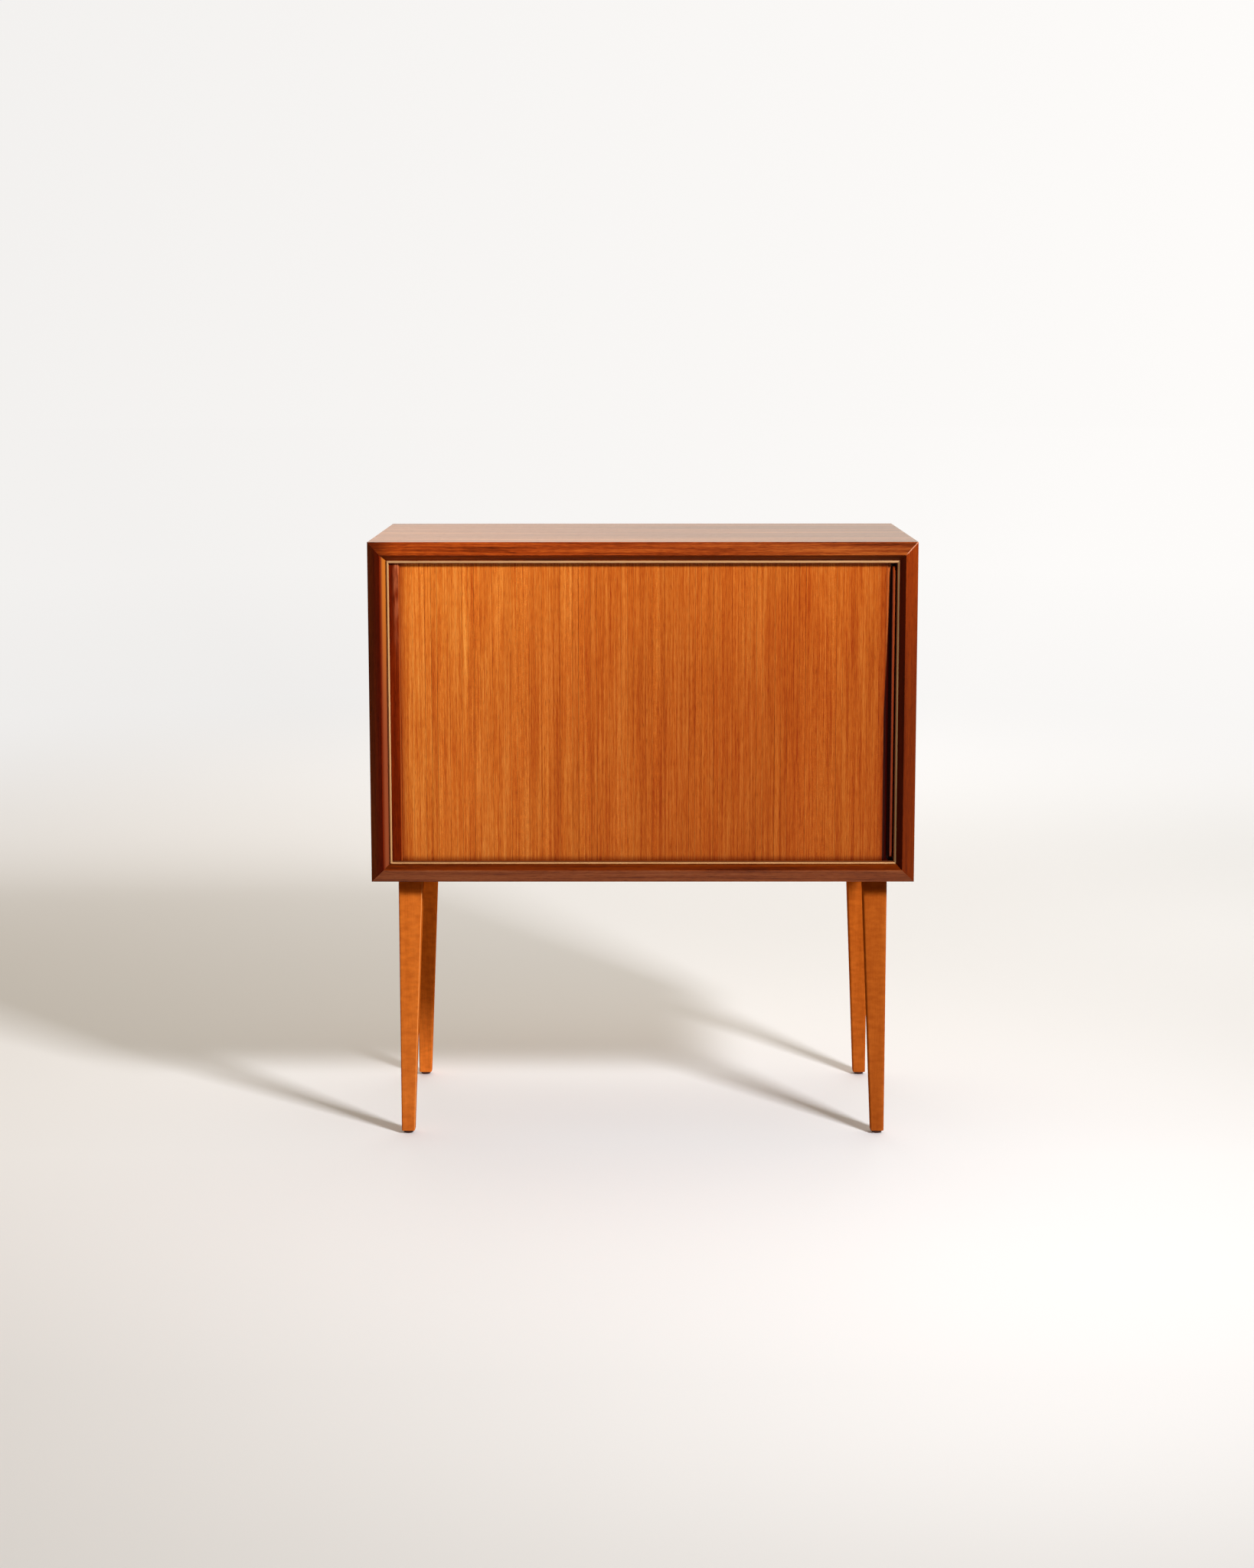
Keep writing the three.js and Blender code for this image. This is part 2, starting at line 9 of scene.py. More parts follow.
# %% Load the frame
import contextlib
import math
import random

import bmesh
import bpy
from mathutils import Matrix, Vector


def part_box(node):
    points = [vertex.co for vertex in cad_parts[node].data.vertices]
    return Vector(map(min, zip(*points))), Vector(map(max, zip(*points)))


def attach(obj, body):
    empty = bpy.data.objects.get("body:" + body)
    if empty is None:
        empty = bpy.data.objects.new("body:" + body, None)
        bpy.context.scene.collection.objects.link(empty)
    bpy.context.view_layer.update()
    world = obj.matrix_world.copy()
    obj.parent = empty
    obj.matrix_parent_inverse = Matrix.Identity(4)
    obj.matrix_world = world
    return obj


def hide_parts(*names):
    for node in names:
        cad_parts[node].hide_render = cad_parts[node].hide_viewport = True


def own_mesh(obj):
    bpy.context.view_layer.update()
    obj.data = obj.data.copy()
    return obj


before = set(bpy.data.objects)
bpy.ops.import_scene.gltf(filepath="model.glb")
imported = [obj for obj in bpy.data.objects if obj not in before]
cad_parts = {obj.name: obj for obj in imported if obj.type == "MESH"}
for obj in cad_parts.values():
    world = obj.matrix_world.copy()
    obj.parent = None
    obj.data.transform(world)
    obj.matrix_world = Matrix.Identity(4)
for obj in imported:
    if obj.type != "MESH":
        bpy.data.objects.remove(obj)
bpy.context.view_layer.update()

MM = 0.001

# %% [markdown]
# The camera
#
# A portrait of furniture is taken from far off with a long lens, because a near camera would
# make the front look much larger than the back. This camera stands a little over four metres
# away and somewhat above the top, and looks down by less than nine degrees. Its matrix is built
# from the three directions that a photographer thinks in: right, up and forward.

# %% Place the camera
camera_place = Vector((-8.7, -4262.7, 1135.6)) * MM
look_down = 0.1499
look_right = -0.0034
camera_roll = -0.0008
focal_pixels = 3736.1
image_width = 1638
sensor_width = 36.0

camera = bpy.data.objects.new("camera", bpy.data.cameras.new("camera"))
bpy.context.scene.collection.objects.link(camera)
forward = Vector((
    math.sin(look_right) * math.cos(look_down),
    math.cos(look_right) * math.cos(look_down),
    -math.sin(look_down),
))
level_right = Vector((math.cos(look_right), -math.sin(look_right), 0))
level_up = level_right.cross(forward)
right = math.cos(camera_roll) * level_right + math.sin(camera_roll) * level_up
up = math.cos(camera_roll) * level_up - math.sin(camera_roll) * level_right
turned = Matrix((right, up, -forward)).transposed()
camera.matrix_world = Matrix.Translation(camera_place) @ turned.to_4x4()
camera.data.sensor_fit = "HORIZONTAL"
camera.data.sensor_width = sensor_width
camera.data.lens = focal_pixels / image_width * sensor_width
bpy.context.scene.camera = camera
print("lens:", round(camera.data.lens, 2), "mm")

# %% [markdown]
# Colours and nodes
#
# Colours are picked as hex values, the way a paint program shows them, but a shader works in
# linear light. One function turns the one into the other. Another adds a node with its settings,
# its values and the links into it, so that a material reads as a list. Every finish starts from
# the same few lines, which are in the last helper.

# %% Helpers for materials
def linear(hex_colour, alpha=1.0):
    """The linear colour of an sRGB hex value."""
    channels = [int(hex_colour[i:i + 2], 16) / 255 for i in (1, 3, 5)]
    light = [c / 12.92 if c <= 0.04045 else ((c + 0.055) / 1.055) ** 2.4 for c in channels]
    return (*light, alpha)


def feed(made, values):
    """Links the values that are sockets to a node's inputs, and writes the others in."""
    for name, value in values.items():
        if isinstance(value, bpy.types.NodeSocket):
            made.id_data.links.new(value, made.inputs[name])
        else:
            made.inputs[name].default_value = value


def node(tree, kind, values, out=0, stops=(), **settings):
    """Adds a node with its settings, its ramp's (place, colour) stops and its values."""
    made = tree.nodes.new("ShaderNode" + kind)
    for name, setting in settings.items():
        setattr(made, name, setting)
    for number, (place, colour) in enumerate(stops):
        elements = made.color_ramp.elements
        element = elements[number] if number < len(elements) else elements.new(1.0)
        element.position = place
        element.color = colour
    feed(made, values)
    return made.outputs[out]


def new_finish(name):
    """A new material, its node tree and the Object coordinates in it."""
    material = bpy.data.materials.new(name)
    material.use_nodes = True
    tree = material.node_tree
    return material, tree, node(tree, "TexCoord", {}, out="Object")


print("teak orange in linear light:", [round(c, 3) for c in linear("#C86E2E")[:3]])

# %% [markdown]
# The studio
#
# The cabinet stands on a roll of pale paper that has no edge in the picture. Here that is a
# wide disc of floor. It takes the lamps' light and the cabinet's shadow near the middle, and
# further out it fades into the colour of the background, so no horizon shows.

# %% Lay the floor
floor_radius = 40.0
floor_sides = 96

bpy.ops.object.select_all(action="DESELECT")
bpy.ops.mesh.primitive_circle_add(vertices=floor_sides, radius=floor_radius, fill_type="NGON")
floor = bpy.context.object
floor.name = "paper_floor"
print("floor radius:", floor_radius, "m")

# %% [markdown]
# The paper
#
# The roll is uncoated paper, so it is matt and shows no reflections. Far out, its own look gives
# way to a glow in the background's colour. To the sides and in front this begins sooner than at
# the back. The background is a little greyer towards the left, where the key lamp reaches less,
# and the paper in front is a little darker. The kind of ray decides the rest: the glow shows to
# the camera, in reflections and through glass, and light that bounces off the paper meets a
# darker tone. That keeps the undersides deep. The background's left and right are where a view
# points that far sideways, as a share of its length.

# %% Colour the paper
fade_start = 2.0
fade_end = 5.6
fade_sooner = 1.5
far_level = 0.94
paper_left = "#EEEBE8"
paper_right = "#FBFDFF"
paper_half = 1.8
paper_front = -1.2
paper_middle = -0.3
paper_front_level = 0.87
floor_bounce = "#B8AA96"
backdrop_paper = "#FFFDFB"
backdrop_left = -0.22
backdrop_right = 0.2
backdrop_left_level = 0.895
backdrop_right_level = 0.985


def backdrop_level(tree, direction):
    """How bright the background looks in a direction."""
    side = node(tree, "SeparateXYZ", {"Vector": direction})
    span = {"From Min": backdrop_left, "From Max": backdrop_right}
    levels = {"To Min": backdrop_left_level, "To Max": backdrop_right_level}
    return node(tree, "MapRange", {"Value": side, **span, **levels})


paper, tree, place = new_finish("matt_paper")
sides = node(tree, "SeparateXYZ", {"Vector": place}).node.outputs
sideways = node(tree, "Math", {0: sides["X"], 1: fade_sooner}, operation="MULTIPLY")
frontwards = node(tree, "Math", {0: sides["Y"], 1: -fade_sooner}, operation="MULTIPLY")
lengthways = node(tree, "Math", {0: sides["Y"], 1: frontwards}, operation="MAXIMUM")
distance = node(tree, "CombineXYZ", {"X": sideways, "Y": lengthways})
distance = node(tree, "VectorMath", {0: distance}, out="Value", operation="LENGTH")
far = {"Value": distance, "From Min": fade_start, "From Max": fade_end}
far = node(tree, "MapRange", far, interpolation_type="SMOOTHSTEP")
ray = node(tree, "LightPath", {}).node.outputs
seen = {0: ray["Is Camera Ray"], 1: ray["Is Glossy Ray"]}
seen = node(tree, "Math", seen, operation="MAXIMUM")
seen = node(tree, "Math", {0: seen, 1: ray["Is Transmission Ray"]}, operation="MAXIMUM")
glow_share = node(tree, "Math", {0: seen, 1: far}, operation="MULTIPLY")

rightwards = {"Value": sides["X"], "From Min": -paper_half, "From Max": paper_half}
rightwards = node(tree, "MapRange", rightwards)
tone = {"Factor": rightwards, 6: linear(paper_left), 7: linear(paper_right)}
tone = node(tree, "Mix", tone, out=2, data_type="RGBA")
backwards = {"Value": sides["Y"], "From Min": paper_front, "From Max": paper_middle}
backwards = node(tree, "MapRange", {**backwards, "To Min": paper_front_level})
tone = node(tree, "VectorMath", {0: tone, "Scale": backwards}, operation="SCALE")
sent_back = {"Factor": ray["Is Diffuse Ray"], 6: tone, 7: linear(floor_bounce)}
sent_back = node(tree, "Mix", sent_back, out=2, data_type="RGBA")
shader = tree.nodes["Principled BSDF"]
feed(shader, {"Base Color": sent_back, "Roughness": 0.9, "Specular IOR Level": 0.1})

away = node(tree, "VectorMath", {0: place}, operation="NORMALIZE")
rise = {"Value": distance, "From Min": fade_start, "From Max": 2 * fade_end}
rise = node(tree, "MapRange", {**rise, "To Min": far_level})
level = node(tree, "Math", {0: backdrop_level(tree, away), 1: rise}, operation="MULTIPLY")
glow = node(tree, "Emission", {"Color": linear(backdrop_paper), "Strength": level})
mixed = node(tree, "MixShader", {0: glow_share, 1: shader.outputs[0], 2: glow})
feed(tree.nodes["Material Output"], {"Surface": mixed})
floor.data.materials.append(paper)
print("the paper fades from", fade_start, "to", fade_end, "m")

# %% [markdown]
# The light
#
# One soft box stands to the right in front of the cabinet and higher up. It is small enough for
# its distance that the legs throw shadows with soft rims, and a grid on its front keeps its
# light off the paper below it. It is left out of reflections, because from behind it would put
# a white glare on the top. A large soft box hangs overhead, another lights the paper behind the
# cabinet, and a weak lamp lifts the paper to its right. All four are a little cool.

# %% Hang the lamps
lamp_colour = "#F7F8FD"


def soft_box(name, place, target, size, power, spread=180, mirrored=True):
    """A square lamp, turned to a target, that sends its light out over some degrees."""
    lamp = bpy.data.objects.new(name, bpy.data.lights.new(name, "AREA"))
    lamp.data.color = linear(lamp_colour)[:3]
    lamp.data.shape = "SQUARE"
    lamp.data.size = size
    lamp.data.energy = power
    lamp.data.spread = math.radians(spread)
    lamp.location = place
    lamp.rotation_euler = (Vector(target) - Vector(place)).to_track_quat("-Z", "Y").to_euler()
    lamp.visible_camera = False
    lamp.visible_glossy = mirrored
    bpy.context.scene.collection.objects.link(lamp)
    print("lamp:", name, power, "W")


soft_box(
    "key_soft_box", place=(1.636, -2.303, 2.1), target=(-0.6, 0, 0.75),
    size=0.5, power=43.5, spread=100, mirrored=False,
)
soft_box("overhead_soft_box", place=(0.3, 0.6, 3.4), target=(0.1, 0.5, 0), size=3.0, power=20.2)
soft_box("paper_soft_box", place=(0.35, 4.6, 2.6), target=(0.35, 4.6, 0), size=4.0, power=92)
soft_box(
    "right_paper_lamp", place=(1.5, 1.25, 1.4), target=(1.5, 1.25, 0),
    size=0.6, power=1.0, spread=100, mirrored=False,
)

# %% [markdown]
# The room
#
# The room around the studio is the world. Its light is warm, low towards the front and high
# towards the back, so its strength follows the direction. Reflections show a room's contrasts
# more plainly than its light does, so they get levels of their own. Each pair below is the
# strength at the front and at the back. The camera sees only the background.

# %% Light the room
room_dim_side = -0.3
room_bright_side = 0.6
room_light = (0.12, 0.72)
room_gloss = (0.06, 0.95)
room_warmth = "#FFEFD2"

world = bpy.data.worlds.new("studio_room")
bpy.context.scene.world = world
world.use_nodes = True
tree = world.node_tree
direction = node(tree, "TexCoord", {}, out="Generated")
depthwards = node(tree, "SeparateXYZ", {"Vector": direction}, out="Y")
strengths = []
for front, back in (room_light, room_gloss):
    span = {"From Min": room_dim_side, "From Max": room_bright_side}
    levels = {"Value": depthwards, **span, "To Min": front, "To Max": back}
    strengths.append(node(tree, "MapRange", levels, interpolation_type="SMOOTHSTEP"))
ray = node(tree, "LightPath", {}).node.outputs
shiny = {0: ray["Is Glossy Ray"], 1: ray["Is Transmission Ray"]}
shiny = node(tree, "Math", shiny, operation="MAXIMUM")
strength = node(tree, "Mix", {"Factor": shiny, "A": strengths[0], "B": strengths[1]})
direct = {"Factor": ray["Is Camera Ray"], "A": strength, "B": backdrop_level(tree, direction)}
strength = node(tree, "Mix", direct)
tint = {"Factor": ray["Is Camera Ray"], 6: linear(room_warmth), 7: linear(backdrop_paper)}
tint = node(tree, "Mix", tint, out=2, data_type="RGBA")
feed(tree.nodes["Background"], {"Color": tint, "Strength": strength})
bpy.context.scene.view_settings.view_transform = "Standard"
print("world:", world.name)

# %% [markdown]
# Tools of the bench
#
# Everything below is shaped as by hand: add a block, slice it, push some of its points, round
# an edge. These helpers pick what an operator acts on. An operator works on all that is
# selected, so the selection is cleared first. Most of them need edit mode, which one helper
# turns on for the lines that are indented below it.

# %% Helpers for picking and editing
NEAR = 0.01 * MM
X_AXIS = 0
Z_AXIS = 2
ALONG_SHARE = 0.9


def use_only(piece):
    """Deselects everything, then selects one piece and makes it active."""
    bpy.ops.object.select_all(action="DESELECT")
    piece.select_set(True)
    bpy.context.view_layer.objects.active = piece


def settle(piece):
    """Puts a piece's place into its mesh, so that its object sits at the origin, unturned."""
    use_only(piece)
    bpy.ops.object.transform_apply(location=True, rotation=True, scale=True)


@contextlib.contextmanager
def editing():
    """Edit mode for the active piece, which ends where the indented lines do."""
    bpy.ops.object.mode_set(mode="EDIT")
    yield
    bpy.ops.object.mode_set(mode="OBJECT")


def middle_of(part):
    """The middle of an edge or a face."""
    points = [vertex.co for vertex in part.verts]
    return sum(points, Vector()) / len(points)


def runs_along(edge, axis):
    """Whether an edge runs along an axis, give or take a taper."""
    run = edge.verts[1].co - edge.verts[0].co
    return abs(run[axis]) > ALONG_SHARE * run.length


def pick(piece, kind, wanted):
    """In edit mode, selects the parts of one kind for which wanted is true."""
    bpy.ops.mesh.select_mode(type=kind)
    bpy.ops.mesh.select_all(action="DESELECT")
    mesh = bmesh.from_edit_mesh(piece.data)
    parts = {"VERT": mesh.verts, "EDGE": mesh.edges, "FACE": mesh.faces}[kind]
    for part in parts:
        if wanted(part):
            part.select_set(True)
    mesh.select_flush_mode()
    bmesh.update_edit_mesh(piece.data)


print("picks within", NEAR / MM, "mm")

# %% [markdown]
# Cutting and finishing
#
# These helpers do the work of the bench's machines. The first makes a block of wood and the
# second rounds edges. The third works like a moulding plane: it slices a block and pushes each
# slice's front edge in, which gives any profile. The others finish a piece's edges, copy it,
# join it with others and give it its place in the cabinet.

# %% Helpers for shaping
def block(name, low, high):
    """A block between two corners, ready to be shaped."""
    bpy.ops.object.select_all(action="DESELECT")
    middle = (Vector(low) + Vector(high)) / 2
    bpy.ops.mesh.primitive_cube_add(size=1, location=middle, scale=Vector(high) - Vector(low))
    piece = bpy.context.object
    piece.name = name
    settle(piece)
    return piece


def round_edges(piece, wanted, radius, segments):
    """In edit mode, rounds the edges for which wanted is true."""
    pick(piece, "EDGE", wanted)
    bpy.ops.mesh.bevel(offset=radius, segments=segments, affect="EDGES")


def carve_front(piece, axis, profile):
    """Slices a block at places along an axis, and pushes its front face in at each of them."""
    front = min(v.co.y for v in piece.data.vertices)
    across = Vector([1.0 if i == axis else 0.0 for i in range(3)])
    with editing():
        for place, _ in profile:
            bpy.ops.mesh.select_all(action="SELECT")
            bpy.ops.mesh.bisect(plane_co=across * place, plane_no=across)
        for place, push in profile:
            at_place = lambda v: abs(v.co[axis] - place) < NEAR and abs(v.co.y - front) < NEAR
            pick(piece, "VERT", at_place)
            bpy.ops.transform.translate(value=(0, push, 0))


def finish_edges(piece, angle=math.radians(35)):
    """Shades small curves smooth, keeps sharper edges, and leaves wide faces flat."""
    use_only(piece)
    bpy.ops.object.shade_smooth_by_angle(angle=angle)
    weighted = piece.modifiers.new("flat_faces", "WEIGHTED_NORMAL")
    weighted.keep_sharp = True
    weighted.weight = 100
    bpy.ops.object.modifier_apply(modifier="flat_faces")


def copy_of(piece, name):
    """A copy of a piece with a mesh of its own."""
    copied = piece.copy()
    copied.data = piece.data.copy()
    copied.name = name
    bpy.context.scene.collection.objects.link(copied)
    return copied


def joined(pieces, name):
    """Several pieces joined into one, with its place in its mesh."""
    use_only(pieces[0])
    for piece in pieces:
        piece.select_set(True)
    bpy.ops.object.join()
    whole = bpy.context.object
    whole.name = name
    settle(whole)
    return whole


def take_place(piece, body, slot, *replaced):
    """A finished piece rides on a body and stands for frame solids; its slot is not used."""
    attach(piece, body)
    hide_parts(*replaced)
    return piece


print("bench ready")

# %% [markdown]
# The slats
#
# A tambour door is a curtain of thin slats on canvas. They come from one board, ripped and
# glued in order, so the figure runs on from slat to slat and only a fine dark joint shows. One
# slat is shaped here, a block with two softened front edges, and copied for all the others.
# The last ones already turn the corner behind the cover strip.

# %% Shape one slat
slats_in_run = 9
run_count = 9
slat_joint = 0.35 * MM
slat_soft = 0.08 * MM
run_low, run_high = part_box("tambour_slats_1")
slat_pitch = (run_high.x - run_low.x + slat_joint) / slats_in_run
slat_half = slat_pitch / 2
slat_thick = run_high.y - run_low.y
canvas_side = run_high.y

slat = block(
    "slat_pattern", (-slat_half, -slat_thick, run_low.z), (slat_half, 0, run_high.z)
)
slat_front = lambda e: runs_along(e, Z_AXIS) and middle_of(e).y < -slat_thick + NEAR
with editing():
    round_edges(slat, slat_front, slat_soft, segments=2)
print("slat:", round(slat_pitch / MM, 2), "mm pitch,", round(slat_thick / MM, 2), "mm thick")

# %% [markdown]
# Laying the curtain
#
# A slat's place is its distance along the canvas. Up to the turn that is a straight line, and
# past it an arc, where each flat slat touches the canvas at its middle. The joints between old
# slats are never equal: glue and wear close most of them and open a few. So each slat is drawn
# in a little by chance, with a seed that gives the same door every time.

# %% Lay the slats
joint_tight = 0.02 * MM
joint_wide = 0.4 * MM
joint_rarity = 5
joint_seed = 7
groove_wall = 3.1 * MM
groove_gap = 0.6 * MM
curtain_start = run_high.x + slat_joint / 2
turn_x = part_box("cover_strip")[1].x
turn_outer = turn_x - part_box("bottom_track_board")[0].x - groove_wall
turn_radius = turn_outer - groove_gap - slat_thick
turn_y = canvas_side + turn_radius
straight_run = curtain_start - turn_x


def lay_slat(number):
    """A copy of the slat at its place, counted from the lead stile."""
    laid = copy_of(slat, f"slat_{number}")
    joint = joint_tight + (joint_wide - joint_tight) * slat_chance.random() ** joint_rarity
    laid.scale.x = 1 - joint / slat_pitch
    length = (number + 1 / 2) * slat_pitch
    if length <= straight_run:
        laid.location = (curtain_start - length, canvas_side, 0)
        return laid
    angle = (length - straight_run) / turn_radius
    x = turn_x - turn_radius * math.sin(angle)
    y = turn_y - turn_radius * math.cos(angle)
    laid.location = (x, y, 0)
    laid.rotation_euler = (0, 0, -angle)
    return laid


slat_chance = random.Random(joint_seed)
slat_runs = []
for run in range(run_count):
    numbers = range(run * slats_in_run, (run + 1) * slats_in_run)
    laid_run = joined([lay_slat(number) for number in numbers], f"slat_run_{run + 1}")
    finish_edges(laid_run)
    slat_runs.append(laid_run)
bpy.data.objects.remove(slat)
print("slats:", run_count * slats_in_run)

# %% [markdown]
# The lead stile
#
# The curtain is pulled by its first member, which is wider than a slat. A cove beside the pull
# makes room for a fingertip. It is carved from a block: slices across the front mark the cove's
# curve and the pull's seat, and the points on each slice are pushed in.

# %% Carve the lead stile
stile_low, stile_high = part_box("lead_stile")
pull_low, pull_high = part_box("pull_bar")
cove_land = 1.2 * MM
cove_fall = 2.4 * MM
cove_steps = 8
cove_bend_share = 1 / 3
seat_gap = 0.3 * MM
wall_lean = 0.03 * MM

cove_left = stile_low.x + cove_land
cove_right = pull_low.x - seat_gap
cove_wide = cove_right - cove_left
seat_push = pull_high.y + seat_gap - stile_low.y
cove = []
for step in range(cove_steps + 1):
    t = step / cove_steps
    along = 2 * (1 - t) * t * cove_bend_share + t * t
    cove.append((cove_left + cove_wide * along, cove_fall * (2 * t - t * t)))
seat = [
    (cove_right + wall_lean, seat_push),
    (pull_high.x + seat_gap - wall_lean, seat_push),
    (pull_high.x + seat_gap, 0),
]
lead_stile = block("lead_stile_carved", stile_low, stile_high)
carve_front(lead_stile, X_AXIS, cove + seat)
finish_edges(lead_stile)
print("cove:", round(cove_wide / MM, 1), "mm wide,", round(cove_fall / MM, 1), "mm deep")

# %% [markdown]
# The pull
#
# The pull is a thin bar, set in the stile, that a finger catches from either side. Its nose is
# round and its ends sweep back to the stile, so that nothing snags. The ends are carved first
# and the nose's two long edges are rounded after that.

# %% Shape the pull
pull_sweep_run = 16 * MM
pull_sweep_fall = 4 * MM
pull_sweep_steps = 8
pull_nose_round = 1.9 * MM

sweep = []
for step in range(pull_sweep_steps + 1):
    t = step / pull_sweep_steps
    sweep.append((pull_sweep_run * t * t, pull_sweep_fall * (1 - t) ** 2))
low_end = [(pull_low.z + run, push) for run, push in sweep]
high_end = [(pull_high.z - run, push) for run, push in sweep]
pull = block("pull_bar_rounded", pull_low, pull_high)
carve_front(pull, Z_AXIS, low_end + high_end)
nose_reach = pull_low.y + pull_sweep_fall + NEAR
on_nose = lambda e: all(v.co.y < nose_reach for v in e.verts) and not runs_along(e, X_AXIS)
with editing():
    round_edges(pull, on_nose, pull_nose_round, segments=4)
finish_edges(pull)
print("pull:", round((pull_high.z - pull_low.z) / MM), "mm tall")

# %% [markdown]
# The canvas
#
# Behind the slats is a strip of linen canvas, glued on under tension. It starts as a flat grid
# and is spun round the corner from its left edge, the way the real one is bent over a drum.

# %% Hang the canvas
canvas_low, canvas_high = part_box("tambour_canvas")
canvas_gap = 0.3 * MM
canvas_thick = 0.6 * MM
canvas_tail = 2 * MM
canvas_columns = 40
canvas_rows = 2
canvas_turn_steps = 6

canvas_height = canvas_high.z - canvas_low.z
canvas_flat = canvas_high.x - turn_x
canvas_depth = canvas_side + canvas_gap + canvas_thick / 2
bpy.ops.object.select_all(action="DESELECT")
bpy.ops.mesh.primitive_grid_add(
    x_subdivisions=canvas_columns,
    y_subdivisions=canvas_rows,
    size=1,
    location=((canvas_high.x + turn_x) / 2, canvas_depth, (canvas_low.z + canvas_high.z) / 2),
    rotation=(math.pi / 2, 0, 0),
)
canvas = bpy.context.object
canvas.name = "linen_backing"
canvas.scale = (canvas_flat, canvas_height, 1)
settle(canvas)
tail_length = run_count * slats_in_run * slat_pitch - canvas_tail - straight_run
turn_angle = tail_length / turn_radius
with editing():
    pick(canvas, "VERT", lambda v: v.co.x < turn_x + NEAR)
    bpy.ops.mesh.spin(
        steps=canvas_turn_steps, angle=-turn_angle, center=(turn_x, turn_y, 0), axis=(0, 0, 1)
    )
    bpy.ops.mesh.select_all(action="SELECT")
    bpy.ops.mesh.remove_doubles(threshold=NEAR)
    bpy.ops.mesh.normals_make_consistent(inside=False)
thicken = canvas.modifiers.new("thickness", "SOLIDIFY")
thicken.thickness = canvas_thick
thicken.offset = 0
use_only(canvas)
bpy.ops.object.modifier_apply(modifier="thickness")
finish_edges(canvas)

# %% [markdown]
# The front frame
#
# The case's front is four bars of darker teak, mitred at the corners. Each has a wide bevel up
# to a ridge and a steeper one down to the opening. A bar is a block with its profile carved in
# steps across the front, then cut at both ends by a plane at 45 degrees, as on a mitre saw. At
# a mitre a bar is longest at its outer edge, so the cutting plane's normal points out of the
# bar's end and down to the opening.

# %% Cut one bar of the frame
bar_low, bar_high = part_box("front_rail_top")
bar_wide = bar_high.z - bar_low.z
bar_deep = bar_high.y - bar_low.y
mitre_gap = 0.15 * MM
ridge_soft = 0.5 * MM
arris_soft = 0.35 * MM
bar_smooth = math.radians(25)
bar_front_share = 0.9
bevel_wide = 18 * MM
bevel_fall = 10.5 * MM
inner_bevel_wide = 7.5 * MM
inner_bevel_fall = 10.6 * MM
quirk_wide = 0.6 * MM
rebate_fall = 12.7 * MM
quirk_edge = -bevel_wide - inner_bevel_wide - quirk_wide
bar_profile = [
    (0, bevel_fall),
    (-bevel_wide, 0),
    (-bevel_wide - inner_bevel_wide, inner_bevel_fall),
    (quirk_edge, inner_bevel_fall),
    (quirk_edge - wall_lean, rebate_fall),
    (-bar_wide, rebate_fall),
]


def on_ridge(edge):
    """Whether an edge of the unturned bar is on its ridge."""
    return abs(middle_of(edge).y - bar_low.y) < NEAR and runs_along(edge, X_AXIS)


def on_outer_front(edge):
    """Whether an edge of the unturned bar is at its outer side, but not at its back."""
    outer = all(v.co.z > -NEAR for v in edge.verts) and runs_along(edge, X_AXIS)
    return outer and middle_of(edge).y < bar_low.y + bar_front_share * bar_deep


def frame_bar(name, length, turn, place):
    """One mitred bar, shaped as the top one about the origin, then turned to its side."""
    half = length / 2
    bar = block(name, (-half, bar_low.y, -bar_wide), (half, bar_high.y, 0))
    carve_front(bar, Z_AXIS, bar_profile)
    with editing():
        for side in (-1, 1):
            bpy.ops.mesh.select_all(action="SELECT")
            bpy.ops.mesh.bisect(
                plane_co=(side * (half - mitre_gap / 2), 0, 0),
                plane_no=(side, 0, -1),
                use_fill=True,
                clear_outer=True,
            )
        round_edges(bar, on_ridge, ridge_soft, segments=3)
        round_edges(bar, on_outer_front, arris_soft, segments=2)
    bar.rotation_euler = (0, turn, 0)
    bar.location = place
    settle(bar)
    finish_edges(bar, bar_smooth)
    return bar


print("bar:", round(bar_wide / MM), "mm wide,", round(bar_deep / MM), "mm deep")

# %% [markdown]
# Fitting the frame
#
# Four bars make the frame. The top and bottom ones are as long as the case is wide, the two
# upright ones as long as it is high. All are cut the same way, so one function makes them, and
# each is turned about Y until its outer edge faces its own side of the case.

# %% Fit the frame
case_low = Vector((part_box("front_stile_left")[0].x, 0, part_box("front_rail_bottom")[0].z))
case_high = Vector((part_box("front_stile_right")[1].x, 0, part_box("front_rail_top")[1].z))
case_wide = case_high.x - case_low.x
case_tall = case_high.z - case_low.z
case_middle_z = (case_low.z + case_high.z) / 2
quarter_turn = math.pi / 2
bar_places = {
    "front_rail_top": ("top_rail_mitred", case_wide, 0, (0, 0, case_high.z)),
    "front_rail_bottom": ("bottom_rail_mitred", case_wide, math.pi, (0, 0, case_low.z)),
    "front_stile_left": (
        "left_stile_mitred", case_tall, -quarter_turn, (case_low.x, 0, case_middle_z)
    ),
    "front_stile_right": (
        "right_stile_mitred", case_tall, quarter_turn, (case_high.x, 0, case_middle_z)
    ),
}
frame_bars = {solid: frame_bar(*bar_place) for solid, bar_place in bar_places.items()}
print("frame:", round(case_wide / MM), "by", round(case_tall / MM), "mm")

# %% [markdown]
# The legs
#
# The legs are square and taper on their two inner sides only, so the outer faces stand
# plumb. A block's lower end is drawn in towards its outer corner, and then its four long
# edges are rounded. The corner is modelled at the origin and each copy takes a quarter turn.

# %% Shape one leg
leg_low, leg_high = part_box("leg_front_left")
leg_top = leg_high.x - leg_low.x
leg_foot = 19.3 * MM
leg_round = 2.4 * MM
leg_end_soft = 0.5 * MM

